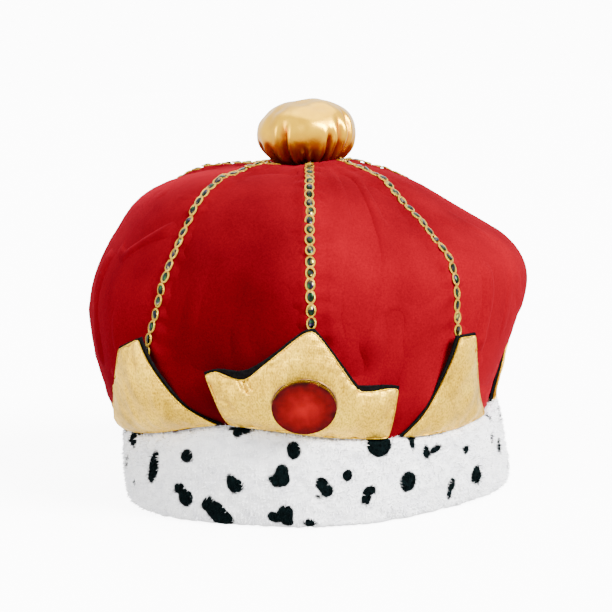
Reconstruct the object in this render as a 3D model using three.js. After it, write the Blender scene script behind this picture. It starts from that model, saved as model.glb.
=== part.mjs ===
// A costume king's crown hat. A puffy velvet crown, sewn from eight gores, stands on a padded
// plush cuff. Gold cloth points with black felt backs stand round the cuff, one on each seam,
// and a sequin braid covers each seam from the tip of its point up to a stuffed gold ball.
// The front point is cut like a small crown and carries a round faceted stone.
// Millimetres, +Z up, front towards -Y. The origin is on the table, on the axis of the hat.
// Azimuths are degrees round the hat, 0 at the front and 90 at +X.
import * as THREE from "three";

// Driving sizes
const HEAD_RADIUS = 93.5; // inside of the cuff, for a head of about 590 mm round
const CUFF_THICKNESS = 8;
const CUFF_HEIGHT = 44; // mean height of the cuff's top
const CROWN_BULGE = 13.5; // how far the velvet reaches out past the cuff
const CROWN_RADIUS = HEAD_RADIUS + CUFF_THICKNESS + CROWN_BULGE;
const HEM_RADIUS = HEAD_RADIUS + 0.39 * CUFF_THICKNESS; // outside of the velvet's hem
const CROWN_HEIGHT = 131.5; // from the cuff's mean top to the level of the velvet's top
const CROWN_LEAN = 3; // how far the top sags towards +X
const VELVET_WALL = 2;
const GORE_PUFF = 3.2; // how deep a seam lies below the middle of its gores
const TOP_HOLE_RADIUS = 7; // where the ball's gathered neck passes
const BALL_RADIUS = 26.8;
const BALL_HEIGHT = 34.5;
const BALL_LEAN = 1; // how far the ball's crest leans towards +X
const BALL_GATHER = 1.1; // how deep the gathers are
const NECK_RADIUS = 6.4;
const NECK_LENGTH = 8; // how far the gathered neck hangs below the ball
const NECK_END_RADIUS = 5.1;
const BALL_SEAT = 0.45; // how far the ball stands up on the gathered rim of the velvet's hole
const BRAID_WIDTH = 5;
const BRAID_THICKNESS = 1.3;
const BRAID_MARGIN = 0.5; // flat velvet left beside a braid
const BRAID_LAP = 6; // how far a braid runs down behind the tip of its point
const BRAID_END_RADIUS = 21; // where a braid ends under the ball
const POINT_HEIGHT = 50;
const POINT_TIP = 12; // width of a plain point's flat tip
const POINT_THICKNESS = 2; // at the middle of the gold pad
const POINT_EDGE = 1.4; // at the rim of the gold pad
const POINT_LIFT = 1.3; // how far a tip stands off the velvet, over its braid
const POINT_BEND = 14; // height of the low rows that bend closely round the velvet
const POINT_FLARE = 2.6; // how far the stiff near edge of a point can stand off the velvet
const FRONT_SPREAD = 25; // degrees from the front point's middle to its wings
const FRONT_HEIGHT = 54;
const BACK_THICKNESS = 1.2;
const BACK_BORDER = 1.1; // how far the felt shows past the gold
const STONE_WIDTH = 31;
const STONE_TALL = 27.4; // across the face, from its lowest to its highest edge
const STONE_DEPTH = 5;
const STONE_AZIMUTH = -2.6;
const STONE_LEVEL = 64; // height of the stone's centre
const SEAT_GAP = 0.6; // between a point's back and the velvet
const CLEARANCE = 0.3; // between pieces that are sewn or glued together
const SEAM_ALLOWANCE = 0.06; // more room for the velvet's seam under a braid

// Where the seams' puffs begin, are full, fade and end, as shares of CROWN_HEIGHT
const PUFF = { begin: 0.2, full: 0.5, fade: 0.82, end: 0.96, roundness: 0.8 };

// Up to which share of CROWN_HEIGHT the velvet follows the cuff's uneven top and its brim
const SETTLE_REACH = 0.6;
const BRIM_REACH = 0.2;

// Where a point's lift off the velvet begins and is full, as multiples of POINT_BEND
const LIFT_BEGIN = 1.5;
const LIFT_FULL = 2.8;

// How finely the curved forms are cut and measured
const BALL_SIDES = 32;
const STONE_SIDES = 16;
const SEARCH_STEPS = 24; // halvings that find the velvet's ring at a height
const SLOPE_STEP = 0.1; // share of a ring over which the velvet's slope is read
const STRETCH_LIMIT = 1.5; // the most that a slope may lengthen a radial step
const PAD_REACH = 0.75; // how far round the stone the pad is looked at, as a share of STONE_WIDTH
const CHANNEL_LIMIT = 0.3; // the most of a gore's width that a seam's flat strip takes

// The cuff round the hat. Rise is its height as a share of CUFF_HEIGHT, foot and brim are how
// far its floor edge and its top edge lean out, as shares of CUFF_THICKNESS.
const CUFF_AROUND = [
  { azimuth: -180, rise: 0.98, foot: 0, brim: 0 },
  { azimuth: -140, rise: 0.96, foot: 0.12, brim: 0 },
  { azimuth: -105, rise: 0.93, foot: -0.1, brim: 0 },
  { azimuth: -78, rise: 0.85, foot: 0, brim: 0 },
  { azimuth: -56, rise: 0.93, foot: 0.2, brim: 0 },
  { azimuth: -28, rise: 1.13, foot: -0.36, brim: 0 },
  { azimuth: -12, rise: 1.09, foot: -0.1, brim: 0 },
  { azimuth: 2, rise: 1.0, foot: 0.14, brim: 0 },
  { azimuth: 18, rise: 0.93, foot: 0, brim: 0 },
  { azimuth: 40, rise: 0.89, foot: -0.45, brim: 0 },
  { azimuth: 62, rise: 0.94, foot: 0.05, brim: -0.15 },
  { azimuth: 86, rise: 0.97, foot: 0.15, brim: -0.5 },
  { azimuth: 115, rise: 1.0, foot: 0, brim: -0.2 },
  { azimuth: 145, rise: 1.01, foot: -0.12, brim: 0 },
];

// A section of the cuff, as shares of its thickness outwards and of its height upwards
const CUFF_SECTION = [
  { out: 0.25, up: 0 },
  { out: 0.75, up: 0 },
  { out: 0.94, up: 0.03 },
  { out: 1.03, up: 0.12 },
  { out: 1.06, up: 0.36 },
  { out: 1.05, up: 0.62 },
  { out: 1.0, up: 0.88 },
  { out: 0.92, up: 1 },
  { out: 0.1, up: 1 },
  { out: 0, up: 0.85 },
  { out: -0.04, up: 0.42 },
  { out: 0, up: 0.1 },
];

// The velvet's four profiles, from its hem to its top hole. Up is a share of CROWN_HEIGHT,
// the others are shares of the way from TOP_HOLE_RADIUS to CROWN_RADIUS.
const CROWN_PROFILE = [
  { up: 0, front: 0.83, right: 0.83, back: 0.83, left: 0.83 },
  { up: 0.045, front: 0.882, right: 0.84, back: 0.88, left: 0.905 },
  { up: 0.105, front: 0.92, right: 0.864, back: 0.92, left: 0.955 },
  { up: 0.17, front: 0.945, right: 0.892, back: 0.95, left: 0.987 },
  { up: 0.25, front: 0.967, right: 0.934, back: 0.975, left: 1.018 },
  { up: 0.34, front: 0.982, right: 0.98, back: 0.99, left: 1.043 },
  { up: 0.43, front: 0.99, right: 1.008, back: 0.995, left: 1.054 },
  { up: 0.52, front: 0.98, right: 1.022, back: 0.985, left: 1.038 },
  { up: 0.6, front: 0.945, right: 0.989, back: 0.945, left: 1.002 },
  { up: 0.68, front: 0.88, right: 0.889, back: 0.875, left: 0.953 },
  { up: 0.76, front: 0.785, right: 0.722, back: 0.77, left: 0.887 },
  { up: 0.84, front: 0.67, right: 0.57, back: 0.65, left: 0.83 },
  { up: 0.91, front: 0.53, right: 0.435, back: 0.51, left: 0.72 },
  { up: 0.955, front: 0.37, right: 0.245, back: 0.35, left: 0.56 },
  { up: 0.978, front: 0.15, right: 0.14, back: 0.18, left: 0.34 },
  { up: 0.955, front: 0, right: 0, back: 0, left: 0 },
];

// The seams, with their azimuths low down, at mid height and at the top
const SEAMS = [
  { name: "front", low: 0, middle: 0, top: 0 },
  { name: "front_right", low: 43.5, middle: 40, top: 47 },
  { name: "right", low: 112.5, middle: 113, top: 119 },
  { name: "back_right", low: 144, middle: 145, top: 148 },
  { name: "back", low: 178, middle: 178, top: 180 },
  { name: "back_left", low: 213, middle: 212, top: 209 },
  { name: "left", low: 250, middle: 249, top: 242 },
  { name: "front_left", low: 304, middle: 319, top: 313 },
];

// Columns of a gore between the edges of its two seams, as shares of the way across
const GORE_COLUMNS = [0, 0.11, 0.25, 0.42, 0.58, 0.75, 0.89, 1];

// Slack folds in the velvet. Low, high and the middle of the slant are shares of CROWN_HEIGHT,
// depth is a share of VELVET_WALL, the slant is in degrees over the whole height.
const FOLDS = [
  { azimuth: 20, slant: 10, low: 0.36, high: 0.86, width: 5, depth: 2.4 },
  { azimuth: 291, slant: 70, low: 0.7, high: 0.97, width: 6, depth: 1.4 },
  { azimuth: 284, slant: 0, low: 0.15, high: 0.75, width: 6, depth: 1.3 },
  { azimuth: 62, slant: -12, low: 0.2, high: 0.6, width: 5, depth: 0.9 },
  { azimuth: 129, slant: 14, low: 0.3, high: 0.85, width: 6, depth: 1.8 },
  { azimuth: 162, slant: -10, low: 0.25, high: 0.8, width: 6, depth: 1.4 },
  { azimuth: 195, slant: 12, low: 0.35, high: 0.85, width: 6, depth: 1.6 },
  { azimuth: 231, slant: -14, low: 0.3, high: 0.85, width: 6, depth: 1.8 },
];

// The plain points. Tip, from and to are azimuths, width is a share of POINT_TIP, height and
// slant are shares of POINT_HEIGHT, flare of POINT_FLARE. Slant is how much higher the tip's
// far end is, flare how far the near edge stands off the velvet.
const PLAIN_POINTS = [
  { name: "front_right", tip: 40.5, from: 24.5, to: 62.5, width: 0.88, height: 0.88, slant: 0, flare: 0 },
  { name: "right", tip: 112, from: 80, to: 124, width: 1, height: 0.9, slant: 0, flare: 0.3 },
  { name: "back_right", tip: 144.5, from: 127, to: 160.5, width: 1, height: 0.96, slant: 0, flare: 0 },
  { name: "back", tip: 178.5, from: 163.5, to: 194, width: 1, height: 0.96, slant: 0, flare: 0 },
  { name: "back_left", tip: 212.5, from: 197, to: 229, width: 1, height: 0.96, slant: 0, flare: 0 },
  { name: "left", tip: 249.5, from: 232, to: 263.5, width: 1, height: 0.94, slant: 0, flare: 0 },
  { name: "front_left", tip: 312.5, from: 282, to: 333, width: 1.2, height: 0.93, slant: 0.06, flare: 0 },
];

// The rows of a point. A row's height is a share of POINT_BEND plus a share of what the point
// has left above it, and spread is how much of a plain point's foot is left at its sides.
const POINT_ROWS = [
  { bend: 0, share: 0, spread: 1 },
  { bend: 0.43, share: 0, spread: 0.73 },
  { bend: 1, share: 0, spread: 0.48 },
  { bend: 1, share: 0.35, spread: 0.27 },
  { bend: 1, share: 0.72, spread: 0.08 },
  { bend: 1, share: 1, spread: 0 },
];
const POINT_COLUMNS = [-1, -0.75, -0.45, -0.15, 0.15, 0.45, 0.75, 1];

// The front point's upper outline, from its left wing over the apex to its right wing. Foot
// and top are shares of FRONT_SPREAD, up of FRONT_HEIGHT, felt of BACK_BORDER.
const FRONT_OUTLINE = [
  { foot: -0.96, top: -1.05, up: 0.62, felt: 1 },
  { foot: -0.84, top: -0.92, up: 0.66, felt: 1.2 },
  { foot: -0.7, top: -0.77, up: 0.58, felt: 3.6 },
  { foot: -0.56, top: -0.64, up: 0.57, felt: 4 },
  { foot: -0.36, top: -0.44, up: 0.72, felt: 1.6 },
  { foot: -0.18, top: -0.24, up: 0.865, felt: 1.4 },
  { foot: -0.03, top: -0.06, up: 1, felt: 1 },
  { foot: 0.1, top: 0.03, up: 1, felt: 1 },
  { foot: 0.24, top: 0.17, up: 0.815, felt: 1.6 },
  { foot: 0.36, top: 0.3, up: 0.62, felt: 2 },
  { foot: 0.48, top: 0.44, up: 0.42, felt: 3 },
  { foot: 0.6, top: 0.6, up: 0.41, felt: 2.6 },
  { foot: 0.72, top: 0.74, up: 0.435, felt: 1.6 },
  { foot: 0.82, top: 0.86, up: 0.415, felt: 1 },
];

// The ball's section, as shares of its radius outwards and of its height upwards, with how
// much of BALL_GATHER and BALL_LEAN shows there
const BALL_SECTION = [
  { out: 0.28, up: 0, gather: 0, lean: 0 },
  { out: 0.56, up: 0.05, gather: 0.5, lean: -0.1 },
  { out: 0.76, up: 0.125, gather: 1, lean: -0.3 },
  { out: 0.93, up: 0.265, gather: 0.9, lean: -0.5 },
  { out: 1, up: 0.44, gather: 0.6, lean: -0.6 },
  { out: 0.97, up: 0.62, gather: 0.5, lean: -0.5 },
  { out: 0.84, up: 0.79, gather: 0.4, lean: -0.1 },
  { out: 0.58, up: 0.92, gather: 0.2, lean: 0.5 },
  { out: 0.28, up: 0.985, gather: 0.1, lean: 0.9 },
];

// The stone's section, as shares of its half width or half height, and of its depth
const STONE_SECTION = [
  { out: 0.95, up: 0 },
  { out: 1, up: 0.2 },
  { out: 0.86, up: 0.68 },
  { out: 0.62, up: 1 },
];

const radians = (degrees) => (degrees * Math.PI) / 180;
const mix = (a, b, share) => a + (b - a) * share;

function ramp(from, to, value) {
  const share = Math.min(1, Math.max(0, (value - from) / (to - from)));
  return share * share * (3 - 2 * share);
}

// A smooth curve through four neighbouring values, read between the middle two
function smooth(before, start, end, after, share) {
  const slope = (end - before) / 2;
  const nextSlope = (after - start) / 2;
  const squared = share * share;
  const cubed = squared * share;
  return (
    start * (2 * cubed - 3 * squared + 1) +
    slope * (cubed - 2 * squared + share) +
    end * (3 * squared - 2 * cubed) +
    nextSlope * (cubed - squared)
  );
}

// A column of the cuff's table at an azimuth, eased from row to row
function aroundCuff(column, azimuth) {
  const turn = ((((azimuth + 180) % 360) + 360) % 360) - 180;
  const count = CUFF_AROUND.length;
  let row = 0;
  while (row < count - 1 && CUFF_AROUND[row + 1].azimuth <= turn) {
    row += 1;
  }
  const start = CUFF_AROUND[row];
  const end = CUFF_AROUND[(row + 1) % count];
  const width = (end.azimuth - start.azimuth + 360) % 360;
  const before = CUFF_AROUND[(row + count - 1) % count];
  const after = CUFF_AROUND[(row + 2) % count];
  const share = (turn - start.azimuth) / width;
  return smooth(before[column], start[column], end[column], after[column], share);
}

const cuffTop = (azimuth) => CUFF_HEIGHT * aroundCuff("rise", azimuth);

function polar(radius, azimuth, height, lean = 0) {
  const angle = radians(azimuth);
  return new THREE.Vector3(radius * Math.sin(angle) + lean, -radius * Math.cos(angle), height);
}

function seamAzimuth(seam, ring) {
  const share = ring / (CROWN_PROFILE.length - 1);
  const bend = seam.middle - (seam.low + seam.top) / 2;
  return mix(seam.low, seam.top, share) + bend * Math.sin(Math.PI * share);
}

// The velvet's smooth skin, without puffs and folds, at a ring that may lie between rows
function skin(azimuth, ring) {
  const last = CROWN_PROFILE.length - 1;
  const row = Math.min(last - 1, Math.floor(ring));
  const rows = [row - 1, row, row + 1, row + 2].map(
    (index) => CROWN_PROFILE[Math.min(last, Math.max(0, index))],
  );
  const read = (column) => smooth(...rows.map((entry) => entry[column]), ring - row);
  const angle = radians(azimuth);
  const [front, right, back, left] = ["front", "right", "back", "left"].map(read);
  const out =
    (front + right + back + left) / 4 +
    ((front - back) / 2) * Math.cos(angle) +
    ((right - left) / 2) * Math.sin(angle) +
    ((front + back - right - left) / 4) * Math.cos(2 * angle);
  const up = read("up");
  const spread = (share) => mix(TOP_HOLE_RADIUS, CROWN_RADIUS, share);
  const seated = HEM_RADIUS - spread(CROWN_PROFILE[0].front);
  const brim = seated + CUFF_THICKNESS * aroundCuff("brim", azimuth);
  const foot = cuffTop(azimuth) + CLEARANCE;
  const settle = (1 - ramp(0, SETTLE_REACH, up)) * (foot - CUFF_HEIGHT - CLEARANCE);
  return {
    radius: spread(out) + brim * (1 - ramp(0, BRIM_REACH, up)),
    height: CUFF_HEIGHT + CLEARANCE + CROWN_HEIGHT * up + settle,
    lean: CROWN_LEAN * up * up,
    up,
  };
}

// How far the velvet dips below its skin at a share of the way across a gore
function dip(azimuth, up, across) {
  const reach = ramp(PUFF.begin, PUFF.full, up) * (1 - ramp(PUFF.fade, PUFF.end, up));
  const seam = GORE_PUFF * reach * (1 - Math.sin(Math.PI * across) ** PUFF.roundness);
  const folds = FOLDS.map((fold) => {
    const centre = fold.azimuth + fold.slant * (up - (fold.low + fold.high) / 2);
    const away = ((((azimuth - centre + 180) % 360) + 360) % 360) - 180;
    const window = Math.sin(Math.PI * Math.min(1, Math.max(0, (up - fold.low) / (fold.high - fold.low))));
    return VELVET_WALL * fold.depth * window * Math.exp(-((away / fold.width) ** 2));
  });
  return seam + folds.reduce((sum, depth) => sum + depth, 0);
}

// One ring of the velvet's outer face, seam edge to seam edge, gore after gore
function crownRing(ring) {
  const points = [];
  SEAMS.forEach((seam, index) => {
    const next = SEAMS[(index + 1) % SEAMS.length];
    const start = seamAzimuth(seam, ring);
    const gap = (seamAzimuth(next, ring) - start + 360) % 360;
    const middle = skin(start + gap / 2, ring);
    const channel = (BRAID_WIDTH / 2 + BRAID_MARGIN) / (middle.radius * radians(gap));
    const edge = Math.min(CHANNEL_LIMIT, channel);
    GORE_COLUMNS.forEach((across) => {
      const azimuth = start + gap * mix(edge, 1 - edge, across);
      const face = skin(azimuth, ring);
      const radius = face.radius - dip(azimuth, face.up, across);
      points.push(polar(radius, azimuth, face.height, face.lean));
    });
  });
  return points;
}

function meshOf(name, points, triangles, material) {
  const geometry = new THREE.BufferGeometry().setFromPoints(points);
  geometry.setIndex(triangles.flat());
  geometry.computeVertexNormals();
  const mesh = new THREE.Mesh(geometry, material);
  mesh.name = name;
  return mesh;
}

// The two triangles of each face between two closed rings, first ring below, seen from outside
function band(lower, upper, count, closed = true) {
  const triangles = [];
  const steps = closed ? count : count - 1;
  for (let side = 0; side < steps; side += 1) {
    const next = (side + 1) % count;
    triangles.push([lower + side, lower + next, upper + next]);
    triangles.push([lower + side, upper + next, upper + side]);
  }
  return triangles;
}

// A fan that closes a ring with a point, seen from the side its order turns round
function fan(ring, tip, count) {
  return Array.from({ length: count }, (_, side) => [ring + side, ring + ((side + 1) % count), tip]);
}

const flip = (triangles) => triangles.map(([a, b, c]) => [a, c, b]);

// The velvet: an outer face, and an inner face one wall further in along its normals
function velvetCrown() {
  const rings = CROWN_PROFILE.map((_, ring) => crownRing(ring));
  const count = rings[0].length;
  const last = rings.length - 1;
  const inner = rings.map((points, ring) =>
    points.map((point, side) => {
      const along = rings[Math.min(last, ring + 1)][side]
        .clone()
        .sub(rings[Math.max(0, ring - 1)][side]);
      const across = points[(side + 1) % count].clone().sub(points[(side + count - 1) % count]);
      const normal = across.cross(along).normalize();
      if (ring === 0) {
        normal.setZ(0).normalize();
      }
      if (ring === last) {
        normal.set(0, 0, 1);
      }
      return point.clone().addScaledVector(normal, -VELVET_WALL);
    }),
  );
  const triangles = [];
  const shift = rings.length * count;
  for (let ring = 0; ring < last; ring += 1) {
    triangles.push(...band(ring * count, (ring + 1) * count, count));
    triangles.push(...flip(band(shift + ring * count, shift + (ring + 1) * count, count)));
  }
  triangles.push(...flip(band(0, shift, count)));
  triangles.push(...band(last * count, shift + last * count, count));
  return meshOf("velvet_crown", [...rings.flat(), ...inner.flat()], triangles, velvet);
}

// The cuff turns on the same azimuths as the velvet's hem, so that the hem lies flat on it
function ermineCuff() {
  const azimuths = crownRing(0).map((point) => THREE.MathUtils.radToDeg(Math.atan2(point.x, -point.y)));
  const points = CUFF_SECTION.flatMap((row) =>
    azimuths.map((azimuth) => {
      const lean = mix(aroundCuff("foot", azimuth), aroundCuff("brim", azimuth), row.up);
      const radius = HEAD_RADIUS + CUFF_THICKNESS * (row.out + lean);
      return polar(radius, azimuth, cuffTop(azimuth) * row.up);
    }),
  );
  const count = azimuths.length;
  const triangles = CUFF_SECTION.flatMap((_, row) =>
    band(row * count, ((row + 1) % CUFF_SECTION.length) * count, count),
  );
  return meshOf("ermine_cuff", points, triangles, plush);
}

// The skin's radius at a height, with how much longer a radial step is than a square one
function skinAt(azimuth, height) {
  let low = 0;
  let high = CROWN_PROFILE.length / 2;
  for (let step = 0; step < SEARCH_STEPS; step += 1) {
    const middle = (low + high) / 2;
    if (skin(azimuth, middle).height < height) {
      low = middle;
    } else {
      high = middle;
    }
  }
  const here = skin(azimuth, low);
  const above = skin(azimuth, low + SLOPE_STEP);
  const slope = (above.radius - here.radius) / (above.height - here.height);
  const stretch = Math.min(STRETCH_LIMIT, Math.hypot(1, slope));
  return { radius: here.radius, lean: here.lean, stretch };
}

// A closed sheet over the velvet from a grid of azimuths and heights. Each place says how far
// its back and front stand off the velvet.
function sheet(name, grid, material) {
  const columns = grid[0].length;
  const place = ({ azimuth, height }, off) => {
    const seat = skinAt(azimuth, height);
    return polar(seat.radius + off * seat.stretch, azimuth, height, seat.lean);
  };
  const back = grid.flatMap((row) => row.map((entry) => place(entry, entry.back)));
  const front = grid.flatMap((row) => row.map((entry) => place(entry, entry.front)));
  const shift = back.length;
  const triangles = [];
  for (let row = 0; row < grid.length - 1; row += 1) {
    const face = band(row * columns, (row + 1) * columns, columns, false);
    triangles.push(...flip(face));
    triangles.push(...face.map((corners) => corners.map((corner) => corner + shift)));
  }
  const top = (grid.length - 1) * columns;
  const rim = [];
  for (let column = 0; column < columns; column += 1) {
    rim.push(column);
  }
  for (let row = 1; row < grid.length; row += 1) {
    rim.push(row * columns + columns - 1);
  }
  for (let column = columns - 2; column >= 0; column -= 1) {
    rim.push(top + column);
  }
  for (let row = grid.length - 2; row > 0; row -= 1) {
    rim.push(row * columns);
  }
  rim.forEach((corner, index) => {
    const next = rim[(index + 1) % rim.length];
    triangles.push([corner, next, next + shift]);
    triangles.push([corner, next + shift, corner + shift]);
  });
  return meshOf(name, [...back, ...front], triangles, material);
}

const standOff = (rise) =>
  SEAT_GAP + POINT_LIFT * ramp(POINT_BEND * LIFT_BEGIN, POINT_BEND * LIFT_FULL, rise);

const riseOf = (row, height) => POINT_BEND * row.bend + (height - POINT_BEND) * row.share;

// A place on a point, from its azimuth, its row and the height of the point there
function placeOn(azimuth, row, height) {
  const rise = riseOf(row, height);
  return { azimuth, rise, height: cuffTop(azimuth) + 2 * CLEARANCE + rise };
}

// The outline of a plain point, wider by the border on the sides and at the tip
function plainGrid(point, border) {
  const tipSpread = THREE.MathUtils.radToDeg((POINT_TIP * point.width) / CROWN_RADIUS / 2);
  const widen = THREE.MathUtils.radToDeg(border / CROWN_RADIUS);
  return POINT_ROWS.map((row) =>
    POINT_COLUMNS.map((across) => {
      const side = across < 0 ? point.tip - point.from : point.to - point.tip;
      const azimuth = point.tip + across * (mix(tipSpread, side, row.spread) + widen);
      const height = POINT_HEIGHT * (point.height + point.slant * across) + border;
      const place = placeOn(azimuth, row, height + CUFF_HEIGHT - cuffTop(azimuth));
      const nearness = Math.max(0, -across) ** 2;
      return { ...place, flare: POINT_FLARE * point.flare * nearness * ramp(0, POINT_BEND, place.rise) };
    }),
  );
}

function frontGrid(border) {
  const last = FRONT_OUTLINE.length - 1;
  const widen = border / CROWN_RADIUS;
  return POINT_ROWS.map((row) =>
    FRONT_OUTLINE.map(({ foot, top, up, felt }, column) => {
      const end = column === 0 ? -widen : column === last ? widen : 0;
      const height = FRONT_HEIGHT * up + border * felt;
      const along = riseOf(row, height) / height;
      const azimuth = FRONT_SPREAD * mix(foot, top, along) + THREE.MathUtils.radToDeg(end);
      return { ...placeOn(azimuth, row, height + CUFF_HEIGHT - cuffTop(azimuth)), flare: 0 };
    }),
  );
}

function withFaces(grid, near, middle, edge) {
  return grid.map((row, index) =>
    row.map((entry, column) => {
      const rim = index === 0 || index === grid.length - 1 || column === 0 || column === row.length - 1;
      const back = standOff(entry.rise) + entry.flare + near;
      return { ...entry, back, front: back + (rim ? edge : middle) };
    }),
  );
}

function pointPair(name, gold, felt) {
  const goldNear = BACK_THICKNESS + CLEARANCE;
  const pad = withFaces(gold, goldNear, POINT_THICKNESS, POINT_EDGE);
  const back = withFaces(felt, 0, BACK_THICKNESS, BACK_THICKNESS);
  return [sheet(`${name}_point`, pad, goldCloth), sheet(`${name}_point_back`, back, blackFelt)];
}

// A tape along a seam, over the flat strip that the velvet leaves for it
function braid(seam, index, tipHeight) {
  const columns = GORE_COLUMNS.length;
  const count = SEAMS.length * columns;
  const rightEdge = index * columns;
  const leftEdge = (rightEdge + count - 1) % count;
  const rings = CROWN_PROFILE.map((_, ring) => {
    const points = crownRing(ring);
    return { left: points[leftEdge], right: points[rightEdge] };
  });
  const centres = rings.map(({ left, right }) => left.clone().add(right).multiplyScalar(0.5));
  const reach = centres.map((centre) => Math.hypot(centre.x - CROWN_LEAN, centre.y));
  const start = centres.findIndex((centre) => centre.z > tipHeight - BRAID_LAP);
  const stop = reach.findIndex((radius, ring) => ring > start && radius < BRAID_END_RADIUS);
  const startShare =
    (tipHeight - BRAID_LAP - centres[start - 1].z) / (centres[start].z - centres[start - 1].z);
  const stopShare = (reach[stop - 1] - BRAID_END_RADIUS) / (reach[stop - 1] - reach[stop]);
  const stations = [start - 1 + startShare];
  for (let ring = start; ring < stop; ring += 1) {
    stations.push(ring);
  }
  stations.push(stop - 1 + stopShare);
  const between = (list, ring) => {
    const row = Math.min(list.length - 2, Math.floor(ring));
    return list[row].clone().lerp(list[row + 1], ring - row);
  };
  const points = stations.flatMap((ring) => {
    const centre = between(centres, ring);
    const edgeLeft = between(rings.map(({ left }) => left), ring);
    const edgeRight = between(rings.map(({ right }) => right), ring);
    const across = edgeRight.sub(edgeLeft).normalize();
    const before = between(centres, Math.max(0, ring - 0.5));
    const along = between(centres, ring + 0.5).sub(before).normalize();
    const normal = across.clone().cross(along).normalize();
    const corner = (side, lift) =>
      centre.clone().addScaledVector(across, (side * BRAID_WIDTH) / 2).addScaledVector(normal, lift);
    const under = CLEARANCE + SEAM_ALLOWANCE;
    const over = under + BRAID_THICKNESS;
    return [corner(1, over), corner(1, under), corner(-1, under), corner(-1, over)];
  });
  const triangles = [];
  for (let station = 0; station < stations.length - 1; station += 1) {
    triangles.push(...band(station * 4, (station + 1) * 4, 4));
  }
  const end = (stations.length - 1) * 4;
  triangles.push([0, 2, 1], [0, 3, 2], [end, end + 1, end + 2], [end, end + 2, end + 3]);
  return meshOf(`${seam.name}_braid`, points, triangles, braidCloth);
}

// The stuffed ball, gathered round its lower half, and the neck that passes into the velvet
function goldBall() {
  const top = CROWN_PROFILE[CROWN_PROFILE.length - 1];
  const seat = CUFF_HEIGHT + CROWN_HEIGHT * top.up + CLEARANCE + BALL_SEAT;
  const turns = Array.from({ length: BALL_SIDES }, (_, side) => side);
  const ringOf = (radius, height, gather, lean) =>
    turns.map((side) => {
      const fold = side % 2 === 0 ? 0 : gather;
      return polar(radius - fold, (side * 360) / BALL_SIDES, height, CROWN_LEAN + lean);
    });
  const neck = [
    ringOf(NECK_END_RADIUS, seat - NECK_LENGTH, 0, 0),
    ringOf(NECK_RADIUS, seat - NECK_LENGTH / 2, 0, 0),
    ringOf(NECK_RADIUS, seat, 0, 0),
  ];
  const body = BALL_SECTION.map(({ out, up, gather, lean }) =>
    ringOf(BALL_RADIUS * out, seat + BALL_HEIGHT * up, BALL_GATHER * gather, BALL_LEAN * lean),
  );
  const rings = [...neck, ...body];
  const bottom = new THREE.Vector3(CROWN_LEAN, 0, seat - NECK_LENGTH);
  const crest = new THREE.Vector3(CROWN_LEAN + BALL_LEAN, 0, seat + BALL_HEIGHT);
  const points = [...rings.flat(), bottom, crest];
  const triangles = rings
    .slice(1)
    .flatMap((_, ring) => band(ring * BALL_SIDES, (ring + 1) * BALL_SIDES, BALL_SIDES));
  triangles.push(...flip(fan(0, rings.length * BALL_SIDES, BALL_SIDES)));
  const topRing = (rings.length - 1) * BALL_SIDES;
  triangles.push(...fan(topRing, rings.length * BALL_SIDES + 1, BALL_SIDES));
  return meshOf("gold_ball", points, triangles, goldFoil);
}

// The stone lies square to the gold pad, just clear of the highest place under it
function stone(pad) {
  const seat = skinAt(STONE_AZIMUTH, STONE_LEVEL);
  const above = skinAt(STONE_AZIMUTH, STONE_LEVEL + 1);
  const out = polar(1, STONE_AZIMUTH, 0);
  const up = new THREE.Vector3(0, 0, 1).addScaledVector(out, above.radius - seat.radius).normalize();
  const across = new THREE.Vector3(0, 0, 1).cross(out).normalize();
  const normal = across.clone().cross(up).normalize();
  const middle = polar(seat.radius, STONE_AZIMUTH, STONE_LEVEL);
  const spots = pad.geometry.getAttribute("position");
  let lift = 0;
  for (let index = 0; index < spots.count; index += 1) {
    const spot = new THREE.Vector3().fromBufferAttribute(spots, index).sub(middle);
    if (Math.hypot(spot.dot(across), spot.dot(up)) < STONE_WIDTH * PAD_REACH) {
      lift = Math.max(lift, spot.dot(normal));
    }
  }
  const points = STONE_SECTION.flatMap((row, ring) =>
    Array.from({ length: STONE_SIDES }, (_, side) => {
      const turn = ((side + (ring % 2) / 2) * 2 * Math.PI) / STONE_SIDES;
      return middle
        .clone()
        .addScaledVector(across, (STONE_WIDTH / 2) * row.out * Math.cos(turn))
        .addScaledVector(up, (STONE_TALL / 2) * row.out * Math.sin(turn))
        .addScaledVector(normal, lift + CLEARANCE + STONE_DEPTH * row.up);
    }),
  );
  const triangles = STONE_SECTION.slice(1).flatMap((_, ring) =>
    band(ring * STONE_SIDES, (ring + 1) * STONE_SIDES, STONE_SIDES),
  );
  const top = (STONE_SECTION.length - 1) * STONE_SIDES;
  for (let side = 1; side < STONE_SIDES - 1; side += 1) {
    triangles.push([0, side + 1, side]);
    triangles.push([top, top + side, top + side + 1]);
  }
  return meshOf("front_stone", points, triangles, redAcrylic);
}

const cloth = (color) => new THREE.MeshStandardMaterial({ color, roughness: 0.9, metalness: 0 });
const velvet = cloth(0xb5121b);
const plush = cloth(0xf1f2f4);
const blackFelt = cloth(0x0b0a0a);
const braidCloth = new THREE.MeshStandardMaterial({ color: 0x8a6a2c, roughness: 0.45, metalness: 0.5 });
const goldCloth = new THREE.MeshStandardMaterial({ color: 0xe3c78c, roughness: 0.45, metalness: 0.6 });
const goldFoil = new THREE.MeshStandardMaterial({ color: 0xe6b96a, roughness: 0.25, metalness: 0.9 });
const redAcrylic = new THREE.MeshStandardMaterial({ color: 0xb8141c, roughness: 0.08, metalness: 0 });

const hat = new THREE.Group();
hat.name = "crown_hat";
hat.add(velvetCrown(), ermineCuff());

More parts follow.
